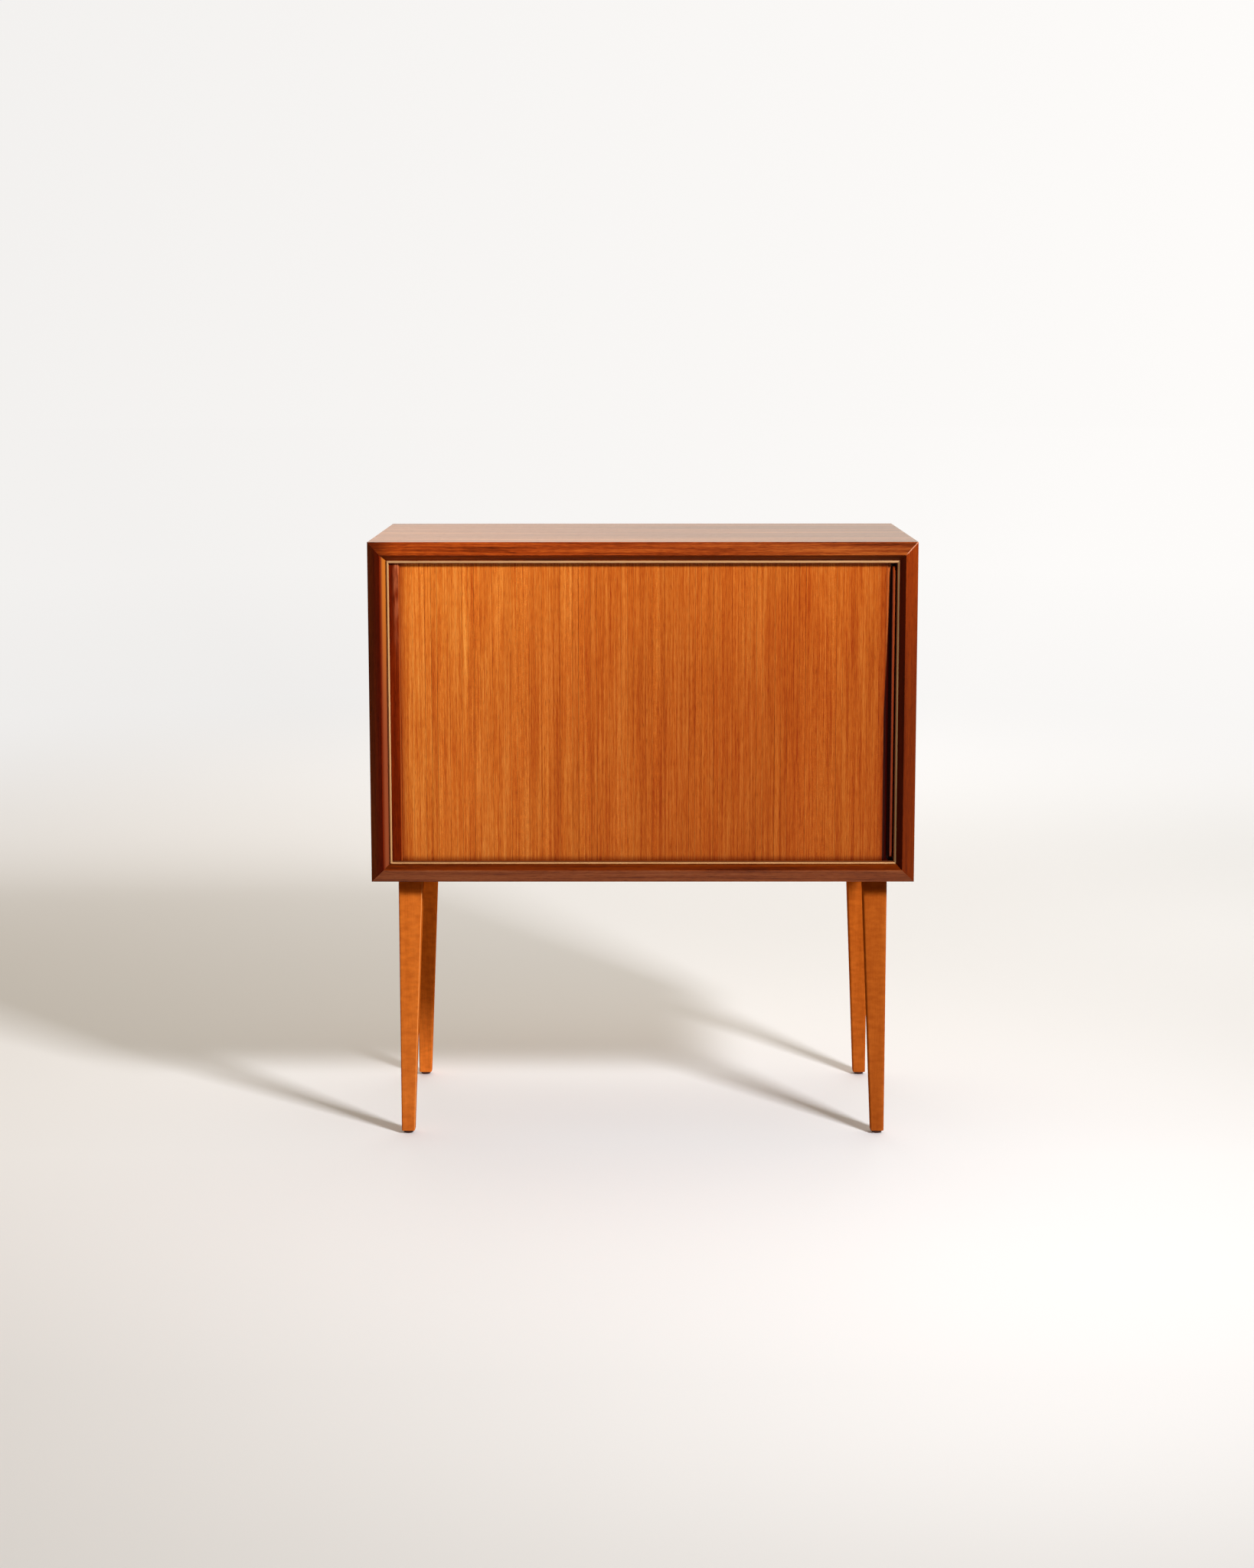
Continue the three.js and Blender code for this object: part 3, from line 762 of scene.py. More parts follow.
leg = block("leg_pattern", (0, 0, leg_low.z), (leg_top, leg_top, leg_high.z))
taper = leg_foot / leg_top
at_ends = lambda e: not runs_along(e, Z_AXIS)
with editing():
    pick(leg, "VERT", lambda v: v.co.z < leg_low.z + NEAR)
    bpy.ops.transform.resize(value=(taper, taper, 1), center_override=(0, 0, leg_low.z))
    round_edges(leg, lambda e: runs_along(e, Z_AXIS), leg_round, segments=5)
    round_edges(leg, at_ends, leg_end_soft, segments=2)
finish_edges(leg)
print("leg:", round(leg_top / MM, 1), "mm to", round(leg_foot / MM, 1), "mm")

# %% [markdown]
# The glides
#
# A glide is a moulded disc with a nail in it, hammered into the end of the leg. It starts as a
# cylinder. Its lower edge is rounded, its top is inset to the nail's width, and that inset is
# extruded upwards.

# %% Shape one glide
glide_low, glide_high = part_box("glide_front_left")
glide_radius = (glide_high.x - glide_low.x) / 2
glide_sides = 40
glide_disc = 4 * MM
glide_round = 1.4 * MM
nail_radius = 1.4 * MM

bpy.ops.object.select_all(action="DESELECT")
bpy.ops.mesh.primitive_cylinder_add(
    vertices=glide_sides, radius=glide_radius, depth=glide_disc, location=(0, 0, glide_disc / 2)
)
glide = bpy.context.object
glide.name = "glide_pattern"
settle(glide)
nail = {"value": (0, 0, glide_high.z - glide_disc)}
with editing():
    round_edges(glide, lambda e: all(v.co.z < NEAR for v in e.verts), glide_round, segments=4)
    pick(glide, "FACE", lambda f: middle_of(f).z > glide_disc - NEAR)
    bpy.ops.mesh.inset(thickness=glide_radius - nail_radius)
    bpy.ops.mesh.extrude_region_move(TRANSFORM_OT_translate=nail)
finish_edges(glide)
print("glide:", round(2 * glide_radius / MM, 1), "mm across")

# %% [markdown]
# Four legs from one
#
# A leg's two tapered sides face the middle of the cabinet, so the same leg fits all four corners
# after none, one, two or three quarter turns. Its outer corner goes where the frame has it, and
# a glide goes under each foot. Then each copy's place is put into its mesh.

# %% Stand the legs on their glides
corners = {
    "front_left": (-1, -1, 0),
    "front_right": (1, -1, 1),
    "back_right": (1, 1, 2),
    "back_left": (-1, 1, 3),
}
legs = {}
glides = {}
for corner, (rightwards, backwards, quarter) in corners.items():
    low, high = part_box(f"leg_{corner}")
    outer_x = low.x if rightwards < 0 else high.x
    outer_y = low.y if backwards < 0 else high.y
    standing = copy_of(leg, f"tapered_leg_{corner}")
    standing.rotation_euler = (0, 0, quarter * quarter_turn)
    standing.location = (outer_x, outer_y, 0)
    settle(standing)
    legs[corner] = take_place(standing, "case", "teak_legs", f"leg_{corner}")
    low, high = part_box(f"glide_{corner}")
    foot = copy_of(glide, f"moulded_glide_{corner}")
    foot.location = ((low.x + high.x) / 2, (low.y + high.y) / 2, 0)
    settle(foot)
    glides[corner] = take_place(foot, "case", "brown_plastic", f"glide_{corner}")
bpy.data.objects.remove(leg)
bpy.data.objects.remove(glide)
print("legs:", sorted(legs))

# %% [markdown]
# The screws of the back
#
# Eight countersunk screws hold the back panel. A cone is the head, its small end is extruded
# to make the shank, and a slot is cut into the flat: the flat is inset, sliced twice, and the
# strip between the slices is pushed in.

# %% Turn one screw
screw_low, screw_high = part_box("back_screw_1")
head_radius = (screw_high.x - screw_low.x) / 2
head_sides = 32
shank_radius = 1.7 * MM
head_deep = 2 * MM
slot_half = 0.5 * MM
slot_deep = 0.9 * MM
slot_rim = 0.7 * MM

bpy.ops.object.select_all(action="DESELECT")
bpy.ops.mesh.primitive_cone_add(
    vertices=head_sides,
    radius1=head_radius,
    radius2=shank_radius,
    depth=head_deep,
    location=(0, 0, head_deep / 2),
)
screw = bpy.context.object
screw.name = "screw_pattern"
settle(screw)
shank_long = screw_high.y - screw_low.y - head_deep
on_flat = lambda f: middle_of(f).z < NEAR
in_slot = lambda f: on_flat(f) and max(abs(v.co.x) for v in f.verts) < slot_half + NEAR
with editing():
    pick(screw, "FACE", lambda f: middle_of(f).z > head_deep - NEAR)
    bpy.ops.mesh.extrude_region_move(TRANSFORM_OT_translate={"value": (0, 0, shank_long)})
    pick(screw, "FACE", on_flat)
    bpy.ops.mesh.inset(thickness=slot_rim)
    for side in (-1, 1):
        bpy.ops.mesh.bisect(plane_co=(side * slot_half, 0, 0), plane_no=(1, 0, 0))
        pick(screw, "FACE", lambda f: on_flat(f) and len(f.verts) > 4)
    pick(screw, "FACE", in_slot)
    bpy.ops.mesh.extrude_region_move(TRANSFORM_OT_translate={"value": (0, 0, slot_deep)})
finish_edges(screw)
screw_long = head_deep + shank_long
print("screw:", round(2 * head_radius / MM, 1), "mm across,", round(screw_long / MM, 1), "mm long")

# %% [markdown]
# Driving the screws
#
# Nobody stops a screw with its slot upright, so each copy is turned a little further than the
# one before. It is then tipped to point forwards and moved until its flat is level with the
# panel. A matrix reads from right to left: turn, tip, move.

# %% Drive the screws
screw_count = 8
screw_turn_step = 0.7
back_screws = []
for number in range(1, screw_count + 1):
    low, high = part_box(f"back_screw_{number}")
    driven = copy_of(screw, f"slotted_screw_{number}")
    driven.matrix_world = (
        Matrix.Translation(((low.x + high.x) / 2, high.y, (low.z + high.z) / 2))
        @ Matrix.Rotation(quarter_turn, 4, "X")
        @ Matrix.Rotation(number * screw_turn_step, 4, "Z")
    )
    settle(driven)
    back_screws.append(take_place(driven, "case", "zinc_steel", f"back_screw_{number}"))
bpy.data.objects.remove(screw)
print("screws:", len(back_screws))

# %% [markdown]
# Softened boards
#
# Boards and panels are right as they are, but a real arris is never razor sharp: it is broken
# with sandpaper and catches a thin line of light. A copy of each board's solid gets its
# triangles merged and its flat faces cleaned up, and a Bevel modifier breaks the edges.

# %% Break the edges of the boards
board_arris = {
    "top_panel": 0.5 * MM,
    "bottom_panel": 0.4 * MM,
    "left_side_panel": 0.5 * MM,
    "right_side_panel": 0.5 * MM,
    "bottom_track_board": 0.3 * MM,
    "top_track_board": 0.3 * MM,
    "left_liner": 0.4 * MM,
    "inner_back": 0.3 * MM,
    "shelf": 0.5 * MM,
    "back_panel": 0.3 * MM,
}
for side in ("top", "bottom", "left", "right"):
    board_arris[f"stringing_{side}"] = 0.15 * MM
FLAT = math.radians(0.5)
SHARP = math.radians(40)


def softened(name, arris):
    """A copy of a frame solid with merged triangles and broken edges."""
    piece = bpy.data.objects.new(f"{name}_sanded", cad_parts[name].data.copy())
    bpy.context.scene.collection.objects.link(piece)
    use_only(piece)
    with editing():
        bpy.ops.mesh.select_all(action="SELECT")
        bpy.ops.mesh.remove_doubles(threshold=NEAR / 10)
        bpy.ops.mesh.dissolve_limited(angle_limit=FLAT)
    bevel = piece.modifiers.new("arris", "BEVEL")
    bevel.width = arris
    bevel.segments = 2
    bevel.limit_method = "ANGLE"
    bevel.angle_limit = SHARP
    bpy.ops.object.modifier_apply(modifier="arris")
    finish_edges(piece)
    return piece


boards = {name: softened(name, arris) for name, arris in board_arris.items()}
print("boards:", len(boards))

# %% [markdown]
# The cover strip
#
# A strip at the left end of the opening hides the place where the curtain turns into the case.
# Its edge next to the slats is rounded over, because the curtain and many hands pass there.

# %% Shape the cover strip
strip_low, strip_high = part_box("cover_strip")
strip_round = 3.2 * MM
cover_strip = block("cover_strip_rounded", strip_low, strip_high)
strip_edge = Vector((strip_high.x, strip_low.y))
at_edge = lambda e: (middle_of(e).xy - strip_edge).length < NEAR and runs_along(e, Z_AXIS)
with editing():
    round_edges(cover_strip, at_edge, strip_round, segments=6)
finish_edges(cover_strip)
boards["cover_strip"] = cover_strip
print("strip:", round((strip_high.x - strip_low.x) / MM, 1), "mm wide")

# %% [markdown]
# Oiled wood
#
# Teak is a coarse, oily, straight-grained wood between honey and red-brown. Four things make
# it: broad bands where the colour of the heartwood drifts, growth lines a few millimetres
# apart, the fibre, and short dark pores along the grain. Each is a noise that is far longer
# along the grain than across it. A last slow noise makes the lines wander. The oil film gives a
# soft sheen, and the pores are a little rougher and lower than the rest.
#
# Sizes are millimetres, across the grain first and then along it. The pores of teak are 0.3 mm
# wide, and are drawn at 0.6 mm because the render could not show them otherwise.

# %% One function for every wood
GRAIN_TURN = {"X": (0, math.pi / 2, 0), "Z": (0, 0, 0)}
drift_size = (60, 420)
band_stretch = 25
line_stretch = 90
fibre_size = (0.9, 15)
pore_size = (0.6, 11)
pore_edge = {"From Min": 0.6, "From Max": 0.72}
pore_dark = 0.3
pore_rough = 0.25
line_relief = 0.25
relief_strength = 0.35
relief_depth = 0.12 * MM


def stretched(tree, place, across, along, detail, out=0):
    """A noise with features of one size across the grain and another along it, in mm."""
    scale = (1 / (across * MM), 1 / (across * MM), 1 / (along * MM))
    spread = node(tree, "Mapping", {"Vector": place, "Scale": scale})
    noise = {"Vector": spread, "Scale": 1.0, "Detail": detail, "Roughness": 0.55}
    return node(tree, "TexNoise", noise, out=out)


def oiled_wood(
    name, colours, grain, seed, band=30, line=2.0, wander=4, pore=0.5,
    soft=0.17, shares=(0.7, 0.8, 0.55), roughness=0.3, gloss=0.12, figures=(),
):
    """A wood from its dark, middle and pale colours, with sizes in mm and shares from 0 to 1.

    The three shares say how much its bands, its lines and its fibre count. The lines wander by
    so many mm, and a larger soft gives less contrast between dark and pale.
    """
    material, tree, place = new_finish(name)
    turn = {"Vector": place, "Rotation": GRAIN_TURN[grain], "Location": (seed, seed / 3, seed / 7)}
    board = node(tree, "Mapping", turn)
    drift = stretched(tree, board, *drift_size, 1.0, out="Color")
    drift = node(tree, "VectorMath", {0: drift, 1: (0.5, 0.5, 0.5)}, operation="SUBTRACT")
    reach = (wander * MM, wander * MM, 0)
    drift = node(tree, "VectorMath", {0: drift, 1: reach}, operation="MULTIPLY")
    board = node(tree, "VectorMath", {0: board, 1: drift}, operation="ADD")

    bands = stretched(tree, board, band, band * band_stretch, 2.0)
    lines = stretched(tree, board, line, line * line_stretch, 3.0)
    fibre = stretched(tree, board, *fibre_size, 2.0)
    share = 0.0
    for layer, weight in zip((bands, lines, fibre), shares):
        share = node(tree, "Math", {0: layer, 1: weight, 2: share}, operation="MULTIPLY_ADD")
    whole = sum(shares)
    limits = {"From Min": whole * (0.5 - soft), "From Max": whole * (0.5 + soft)}
    share = node(tree, "MapRange", {"Value": share, **limits})
    dark, middle, pale = (linear(colour) for colour in colours)
    stops = ((0.0, dark), (0.5, middle), (1.0, pale))
    colour = node(tree, "ValToRGB", {0: share}, stops=stops)

    pores = stretched(tree, board, *pore_size, 1.0)
    pores = node(tree, "MapRange", {"Value": pores, **pore_edge})
    pores = node(tree, "Math", {0: pores, 1: pore}, operation="MULTIPLY")
    pore_colour = (*(channel * pore_dark for channel in dark[:3]), 1)
    colour = {"Factor": pores, 6: colour, 7: pore_colour}
    colour = node(tree, "Mix", colour, out=2, data_type="RGBA")
    for add_figure in figures:
        colour = add_figure(tree, place, board, colour)

    rough = {"Value": pores, "To Min": roughness, "To Max": roughness + pore_rough}
    rough = node(tree, "MapRange", rough)
    height = node(tree, "Math", {0: lines, 1: line_relief, 2: 0.0}, operation="MULTIPLY_ADD")
    height = node(tree, "Math", {0: height, 1: pores}, operation="SUBTRACT")
    relief = {"Height": height, "Strength": relief_strength, "Distance": relief_depth}
    relief = node(tree, "Bump", relief)
    looks = {"Base Color": colour, "Roughness": rough, "Normal": relief}
    feed(tree.nodes["Principled BSDF"], {**looks, "Specular IOR Level": gloss})
    return material


print("pores drawn at", pore_size[0], "mm")

# %% [markdown]
# Washes and tints
#
# A figure is a function that changes a wood's colour in some places. All figures use the same
# few means. A share says where: it is 0 off the mark and 1 on it. A wash multiplies the colour,
# as a thin glaze does, and a tint covers it, as bare wood or dirt does.

# %% Helpers for figures
NO_WASH = (1, 1, 1)


def overlap(tree, shares):
    """A share that is 1 only where all the given ones are."""
    whole = shares[0]
    for share in shares[1:]:
        whole = node(tree, "Math", {0: whole, 1: share}, operation="MULTIPLY")
    return whole


def washed(tree, colour, first, last, *shares):
    """A colour multiplied by a wash that goes from first to last as the shares reach 1."""
    wash = {"Factor": overlap(tree, shares), 6: (*first, 1), 7: (*last, 1)}
    wash = node(tree, "Mix", wash, out=2, data_type="RGBA")
    mix = {"Factor": 1.0, 6: colour, 7: wash}
    return node(tree, "Mix", mix, out=2, data_type="RGBA", blend_type="MULTIPLY")


def tinted(tree, colour, other, *shares):
    """A colour covered by another one where the shares reach 1."""
    mix = {"Factor": overlap(tree, shares), 6: colour, 7: linear(other)}
    return node(tree, "Mix", mix, out=2, data_type="RGBA")


def between(tree, place, axis, start, end):
    """A share that rises smoothly from 0 to 1 between two places on an axis."""
    value = node(tree, "SeparateXYZ", {"Vector": place}, out=axis)
    rise = {"Value": value, "From Min": start, "From Max": end}
    return node(tree, "MapRange", rise, interpolation_type="SMOOTHSTEP")


def wash_along(axis, start, end, first, last):
    """A figure that washes a board from one place on an axis to another."""
    return lambda tree, place, board, colour: washed(
        tree, colour, first, last, between(tree, place, axis, start, end)
    )


print("washes and tints ready")

# %% [markdown]
# Figures of the wood
#
# Some boards show more than lines. The slats differ a little from one to the next, and drift
# slowly between yellower and redder wood. The joints between them hold some dirt, which reaches
# over a twentieth of a slat. Where teak is cut near the radius, its rays show as small pale
# flecks across the grain. The legs are rippled, as wood is where the trunk carried a branch.

# %% The figures of slats and legs
joint_grime_reach = 0.055
joint_grime_rarity = 3.0


def slat_count(tree, place):
    """A place's distance from the lead stile in slats, whole numbers at the joints."""
    x = node(tree, "SeparateXYZ", {"Vector": place})
    count = node(tree, "Math", {0: x, 1: curtain_start}, operation="SUBTRACT")
    return node(tree, "Math", {0: count, 1: slat_pitch}, operation="DIVIDE")


def slat_steps(tree, place, board, colour):
    """Each slat a little darker or lighter than its neighbours."""
    count = node(tree, "Math", {0: slat_count(tree, place)}, operation="FLOOR")
    chance = node(tree, "TexWhiteNoise", {"W": count}, noise_dimensions="1D")
    return washed(tree, colour, (0.96, 0.94, 0.93), (1.03, 1.04, 1.04), chance)


def joint_grime(tree, place, board, colour):
    """Dark dirt beside the joints between slats, plain at a few and faint at the others."""
    count = slat_count(tree, place)
    joint = node(tree, "Math", {0: count}, operation="ROUND")
    off = node(tree, "Math", {0: count, 1: joint}, operation="SUBTRACT")
    off = node(tree, "Math", {0: off}, operation="ABSOLUTE")
    near = {"Value": off, "From Min": joint_grime_reach, "From Max": 0.0}
    near = node(tree, "MapRange", near)
    chance = node(tree, "TexWhiteNoise", {"W": joint}, noise_dimensions="1D")
    chance = node(tree, "Math", {0: chance, 1: joint_grime_rarity}, operation="POWER")
    return washed(tree, colour, NO_WASH, (0.3, 0.14, 0.06), near, chance)


def ray_flecks(tree, place, board, colour):
    """Small pale flecks across the grain, in some bands only."""
    flecks = stretched(tree, board, across=1.5, along=1.1, detail=1.0)
    flecks = node(tree, "MapRange", {"Value": flecks, "From Min": 0.5, "From Max": 0.75})
    where = stretched(tree, board, across=22, along=900, detail=1.0)
    where = node(tree, "MapRange", {"Value": where, "From Min": 0.5, "From Max": 0.62})
    return washed(tree, colour, NO_WASH, (1.25, 1.3, 1.35), flecks, where)


def warm_clouds(tree, place, board, colour):
    """Slow changes between yellower and redder wood."""
    clouds = stretched(tree, board, across=45, along=180, detail=1.0)
    clouds = node(tree, "MapRange", {"Value": clouds, "From Min": 0.35, "From Max": 0.65})
    return washed(tree, colour, (0.99, 0.95, 0.92), (1.01, 1.05, 1.07), clouds)


def ripples(tree, place, board, colour):
    """Bands of light and shade across the grain."""
    waves = stretched(tree, board, across=15, along=7, detail=3.0)
    waves = node(tree, "MapRange", {"Value": waves, "From Min": 0.3, "From Max": 0.7})
    return washed(tree, colour, (0.87, 0.81, 0.77), (1.1, 1.14, 1.15), waves)


print("figures of the wood ready")

# %% [markdown]
# Painted shade and highlight on the door and strip
#
# The cove and the wood beside it are painted dark as shade, which covers less towards the top.
# The cover strip has a painted highlight near its top and is paler along its right edge. Most
# places are taken from the pieces themselves, so that the marks stay on them.

# %% The painted shade and highlight of door and strip
# Painted shade in the cove: where it starts at the top, and how much further left it reaches lower
# down.
cove_shade_shift = 8 * MM
cove_shade_left = cove_left + 3.4 * MM
cove_shade_right = cove_left + 5.8 * MM
highlight_left = -356 * MM
highlight_right = -350 * MM
pale_edge_left = strip_high.x - 2.4 * MM
pale_edge_right = strip_high.x + 0.4 * MM


def cove_painted_shade(tree, place, board, colour):
    """The cove and the wood beside it, painted dark as shade that covers less towards the top."""
    sides = node(tree, "SeparateXYZ", {"Vector": place}).node.outputs
    reach = {"Value": sides["Z"], "From Min": stile_high.z, "From Max": case_middle_z}
    reach = node(tree, "MapRange", reach)
    shifted = {0: reach, 1: cove_shade_shift, 2: sides["X"]}
    shifted = node(tree, "Math", shifted, operation="MULTIPLY_ADD")
    edge = {"Value": shifted, "From Min": cove_shade_left, "From Max": cove_shade_right}
    edge = node(tree, "MapRange", edge, interpolation_type="SMOOTHSTEP")
    return washed(tree, colour, NO_WASH, (0.07, 0.015, 0.02), edge)


def painted_highlight_and_pale_edge(tree, place, board, colour):
    """Dark wood with a painted highlight near the top, and paler along its right edge."""
    highlight_spots = stretched(tree, board, across=5, along=30, detail=2.0)
    highlight_spots = node(tree, "MapRange", {"Value": highlight_spots, "From Min": 0.35, "From Max": 0.6})
    rightwards = between(tree, place, "X", highlight_left, highlight_right)
    upwards = between(tree, place, "Z", case_middle_z + 40 * MM, case_high.z)
    # Painted highlight: pale mottled spots near the top of the strip.
    colour = tinted(tree, colour, "#B05E3A", highlight_spots, rightwards, upwards)
    return tinted(tree, colour, "#A24E1C", between(tree, place, "X", pale_edge_left, pale_edge_right))


print("worn edge:", round((pale_edge_right - pale_edge_left) / MM, 1), "mm wide")

# %% [markdown]
# Painted light and shade on the frame
#
# The left stile has a painted highlight along its inner bevel. A leg's edge and a mitre each
# have a painted highlight along a fine pale line. The stringing is painted dark as shade along
# both of its sides, and keeps its own colour only between two rectangles. Rectangles and slanted
# lines need a distance: how far a place is outside a box, or off a line.

# %% Painted light and shade on frame, stringing and legs
unshaded_outer = (Vector((-361.9, 0, 407.8)) * MM, Vector((364.6, 0, 844.2)) * MM)
unshaded_inner = (Vector((-359.8, 0, 410.3)) * MM, Vector((361.6, 0, 840.9)) * MM)
shade_blur = 0.3 * MM
shade_cover = 0.9
bevel_highlight_cover = 0.85
left_ridge = case_low.x + bevel_wide
leg_highlight_rim = 1.3 * MM
leg_highlight_core = 0.4 * MM
mitre_highlight_rim = 1.1 * MM
mitre_highlight_core = 0.3 * MM


def bevel_painted_highlight(tree, place, board, colour):
    """A painted highlight along the inner bevel of the left stile, the palest at the top."""
    inside = between(tree, place, "X", left_ridge - 0.3 * MM, left_ridge + 4.5 * MM)
    # Painted highlight: the inner bevel, which faces the key lamp, is tinted paler.
    colour = tinted(tree, colour, "#8C4628", inside, bevel_highlight_cover)
    upwards = between(tree, place, "Z", case_middle_z - 60 * MM, case_high.z)
    palest = between(tree, place, "X", left_ridge + 1 * MM, left_ridge + 5 * MM)
    return tinted(tree, colour, "#B56620", palest, upwards)


def outside_box(tree, place, low, high):
    """How far a place is outside a box in X and Z, and less than 0 inside it."""
    off = node(tree, "VectorMath", {0: place, 1: (low + high) / 2}, operation="SUBTRACT")
    off = node(tree, "VectorMath", {0: off}, operation="ABSOLUTE")
    off = node(tree, "VectorMath", {0: off, 1: (high - low) / 2}, operation="SUBTRACT")
    off = node(tree, "SeparateXYZ", {"Vector": off}).node.outputs
    return node(tree, "Math", {0: off["X"], 1: off["Z"]}, operation="MAXIMUM")


def stringing_painted_shade(tree, place, board, colour):
    """A pale line painted dark as shade along both sides, plain only between two rectangles."""
    for (low, high), side in (unshaded_inner, 1), (unshaded_outer, -1):
        off = outside_box(tree, place, low, high)
        unshaded = {"Value": off, "From Min": side * -shade_blur, "From Max": side * shade_blur}
        unshaded = node(tree, "MapRange", unshaded, interpolation_type="SMOOTHSTEP")
        shade_share = node(tree, "Math", {0: 1.0, 1: unshaded}, operation="SUBTRACT")
        # Painted shade: a dark tint where the line meets the frame and the slats.
        colour = tinted(tree, colour, "#5A2408", shade_share, shade_cover)
    return colour


def leg_painted_highlight(tree, place, board, colour):
    """A painted highlight down the inner front edge of the left leg, a fine pale line."""
    foot = Vector((leg_low.x + leg_foot, 0, leg_low.z))
    top = Vector((leg_high.x, 0, leg_high.z))
    across = (top - foot).cross(Vector((0, 1, 0))).normalized()
    off = node(tree, "VectorMath", {0: place, 1: foot}, operation="SUBTRACT")
    off = node(tree, "VectorMath", {0: off, 1: across}, out="Value", operation="DOT_PRODUCT")
    off = node(tree, "Math", {0: off}, operation="ABSOLUTE")
    near = {"Value": off, "From Min": leg_highlight_rim, "From Max": leg_highlight_core}
    near = node(tree, "MapRange", near)
    front = between(tree, place, "Y", leg_low.y + 1.8 * MM, leg_low.y + 0.9 * MM)
    # Painted highlight: a pale tint along the leg's edge.
    return tinted(tree, colour, "#E89C58", near, front)


def mitre_painted_highlight(tree, place, board, colour):
    """A painted highlight, a fine pale line along the top right mitre."""
    corner = {0: place, 1: (case_high.x, 0, case_high.z)}
    inwards = node(tree, "VectorMath", corner, operation="SUBTRACT")
    inwards = node(tree, "SeparateXYZ", {"Vector": inwards}).node.outputs
    off = node(tree, "Math", {0: inwards["X"], 1: inwards["Z"]}, operation="SUBTRACT")
    off = node(tree, "Math", {0: off}, operation="ABSOLUTE")
    near = {"Value": off, "From Min": mitre_highlight_rim, "From Max": mitre_highlight_core}
    near = node(tree, "MapRange", near, interpolation_type="SMOOTHSTEP")
    outer = between(tree, place, "X", case_high.x - bevel_wide, case_high.x - 0.8 * bevel_wide)
    # Painted highlight: a pale tint along the mitre on the outer bevel.
    return tinted(tree, colour, "#D08E6C", near, outer)


print("left stile's ridge at", round(left_ridge / MM, 1), "mm")

# %% [markdown]
# Washes for single boards
#
# Old teak isn't one colour from end to end, so some boards are lighter at one end or side than
# at the other. Other washes are painted shade: beside the cover strip, towards the cove, at the
# foot of the opening, on the pull's left edge, on the frame's inner bevels and on the legs just
# under the case. Two are painted light, on the upper slats and on the back legs. Each of these
# is a wash along one axis, from one place to another.

# %% Prepare the washes
opening_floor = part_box("stringing_bottom")[1].z
top_ridge = case_high.z - bevel_wide
right_ridge = case_high.x - bevel_wide
low_ridge = case_low.z + bevel_wide
ridge_out = 0.3 * MM
ridge_in = 0.7 * MM

left_to_right = wash_along("X", case_low.x, 100 * MM, (1.31, 1.46, 1.4), (0.89, 0.82, 0.69))
# Painted light: the slats are washed lighter towards the top.
slats_painted_light_rising = wash_along("Z", case_middle_z, case_high.z, (0.98, 0.97, 0.96), (1.12, 1.17, 1.15))
# Painted shade on the slats beside the cover strip.
painted_shade_by_strip = wash_along(
    "X", strip_high.x + 0.5 * MM, strip_high.x + 12 * MM, (0.55, 0.38, 0.3), NO_WASH
)
# Painted shade at the foot of the opening, above the bottom stringing.
low_painted_shade = wash_along(
    "Z", opening_floor - 1 * MM, opening_floor + 9 * MM, (0.5, 0.36, 0.3), NO_WASH
)
# Painted shade on the last slats before the lead stile.
painted_shade_towards_cove = wash_along(
    "X", curtain_start - 16 * MM, curtain_start - 5 * MM, NO_WASH, (0.78, 0.62, 0.5)
)
# Painted shade on the pull's left edge, which faces away from the key lamp.
pull_painted_shade = wash_along(
    "X", pull_low.x + 0.4 * MM, pull_low.x + 1.4 * MM, (0.15, 0.1, 0.1), NO_WASH
)
# Painted shade on the frame's inner bevels: below the top ridge, left of the right ridge and above
# the low one.
top_bevel_painted_shade = wash_along("Z", top_ridge + ridge_out, top_ridge - ridge_in, NO_WASH, (0.6, 0.48, 0.05))
right_bevel_painted_shade = wash_along(
    "X", right_ridge + ridge_out, right_ridge - ridge_in, NO_WASH, (0.47, 0.32, 0.1)
)
bottom_bevel_painted_shade = wash_along(
    "Z", low_ridge - ridge_out, low_ridge + ridge_in, NO_WASH, (0.52, 0.27, 0.02)
)
right_rising = wash_along(
    "Z", case_middle_z, case_high.z, (0.92, 0.88, 0.8), (1.3, 1.22, 1.05)
)
top_fade = wash_along("X", case_low.x, case_high.x, (1.25, 1.3, 1.35), (0.69, 0.62, 0.55))
rail_fade = wash_along("X", case_low.x, case_high.x, (1.25, 1.08, 0.9), (0.78, 0.8, 1.1))
string_fade = wash_along("Z", case_low.z, case_high.z, (1.4, 1.3, 1.3), (0.82, 0.8, 0.86))
dark_end = wash_along(
    "X", case_low.x + 5 * MM, case_low.x + 45 * MM, (0.3, 0.25, 0.3), NO_WASH
)
stile_turn = wash_along(
    "X", case_low.x + 2 * MM, left_ridge, (0.85, 1.35, 1.6), (1.05, 0.7, 0.3)
)
leg_side = wash_along("X", case_low.x, case_high.x, (1.2, 1.0, 1.0), (0.82, 0.64, 0.62))
# Painted light: the back legs are washed lighter.
back_legs_painted_light = wash_along("Y", -200 * MM, 200 * MM, NO_WASH, (1.3, 1.3, 1.2))
leg_foot_wash = wash_along("Z", 0, 260 * MM, (1.08, 1.12, 1.35), NO_WASH)
# Painted shadow of the case across the top of each leg.
leg_painted_case_shadow = wash_along(
    "Z", leg_high.z - 21 * MM, leg_high.z - 14 * MM, NO_WASH, (0.62, 0.56, 0.5)
)
print("opening's floor at", round(opening_floor / MM, 1), "mm")
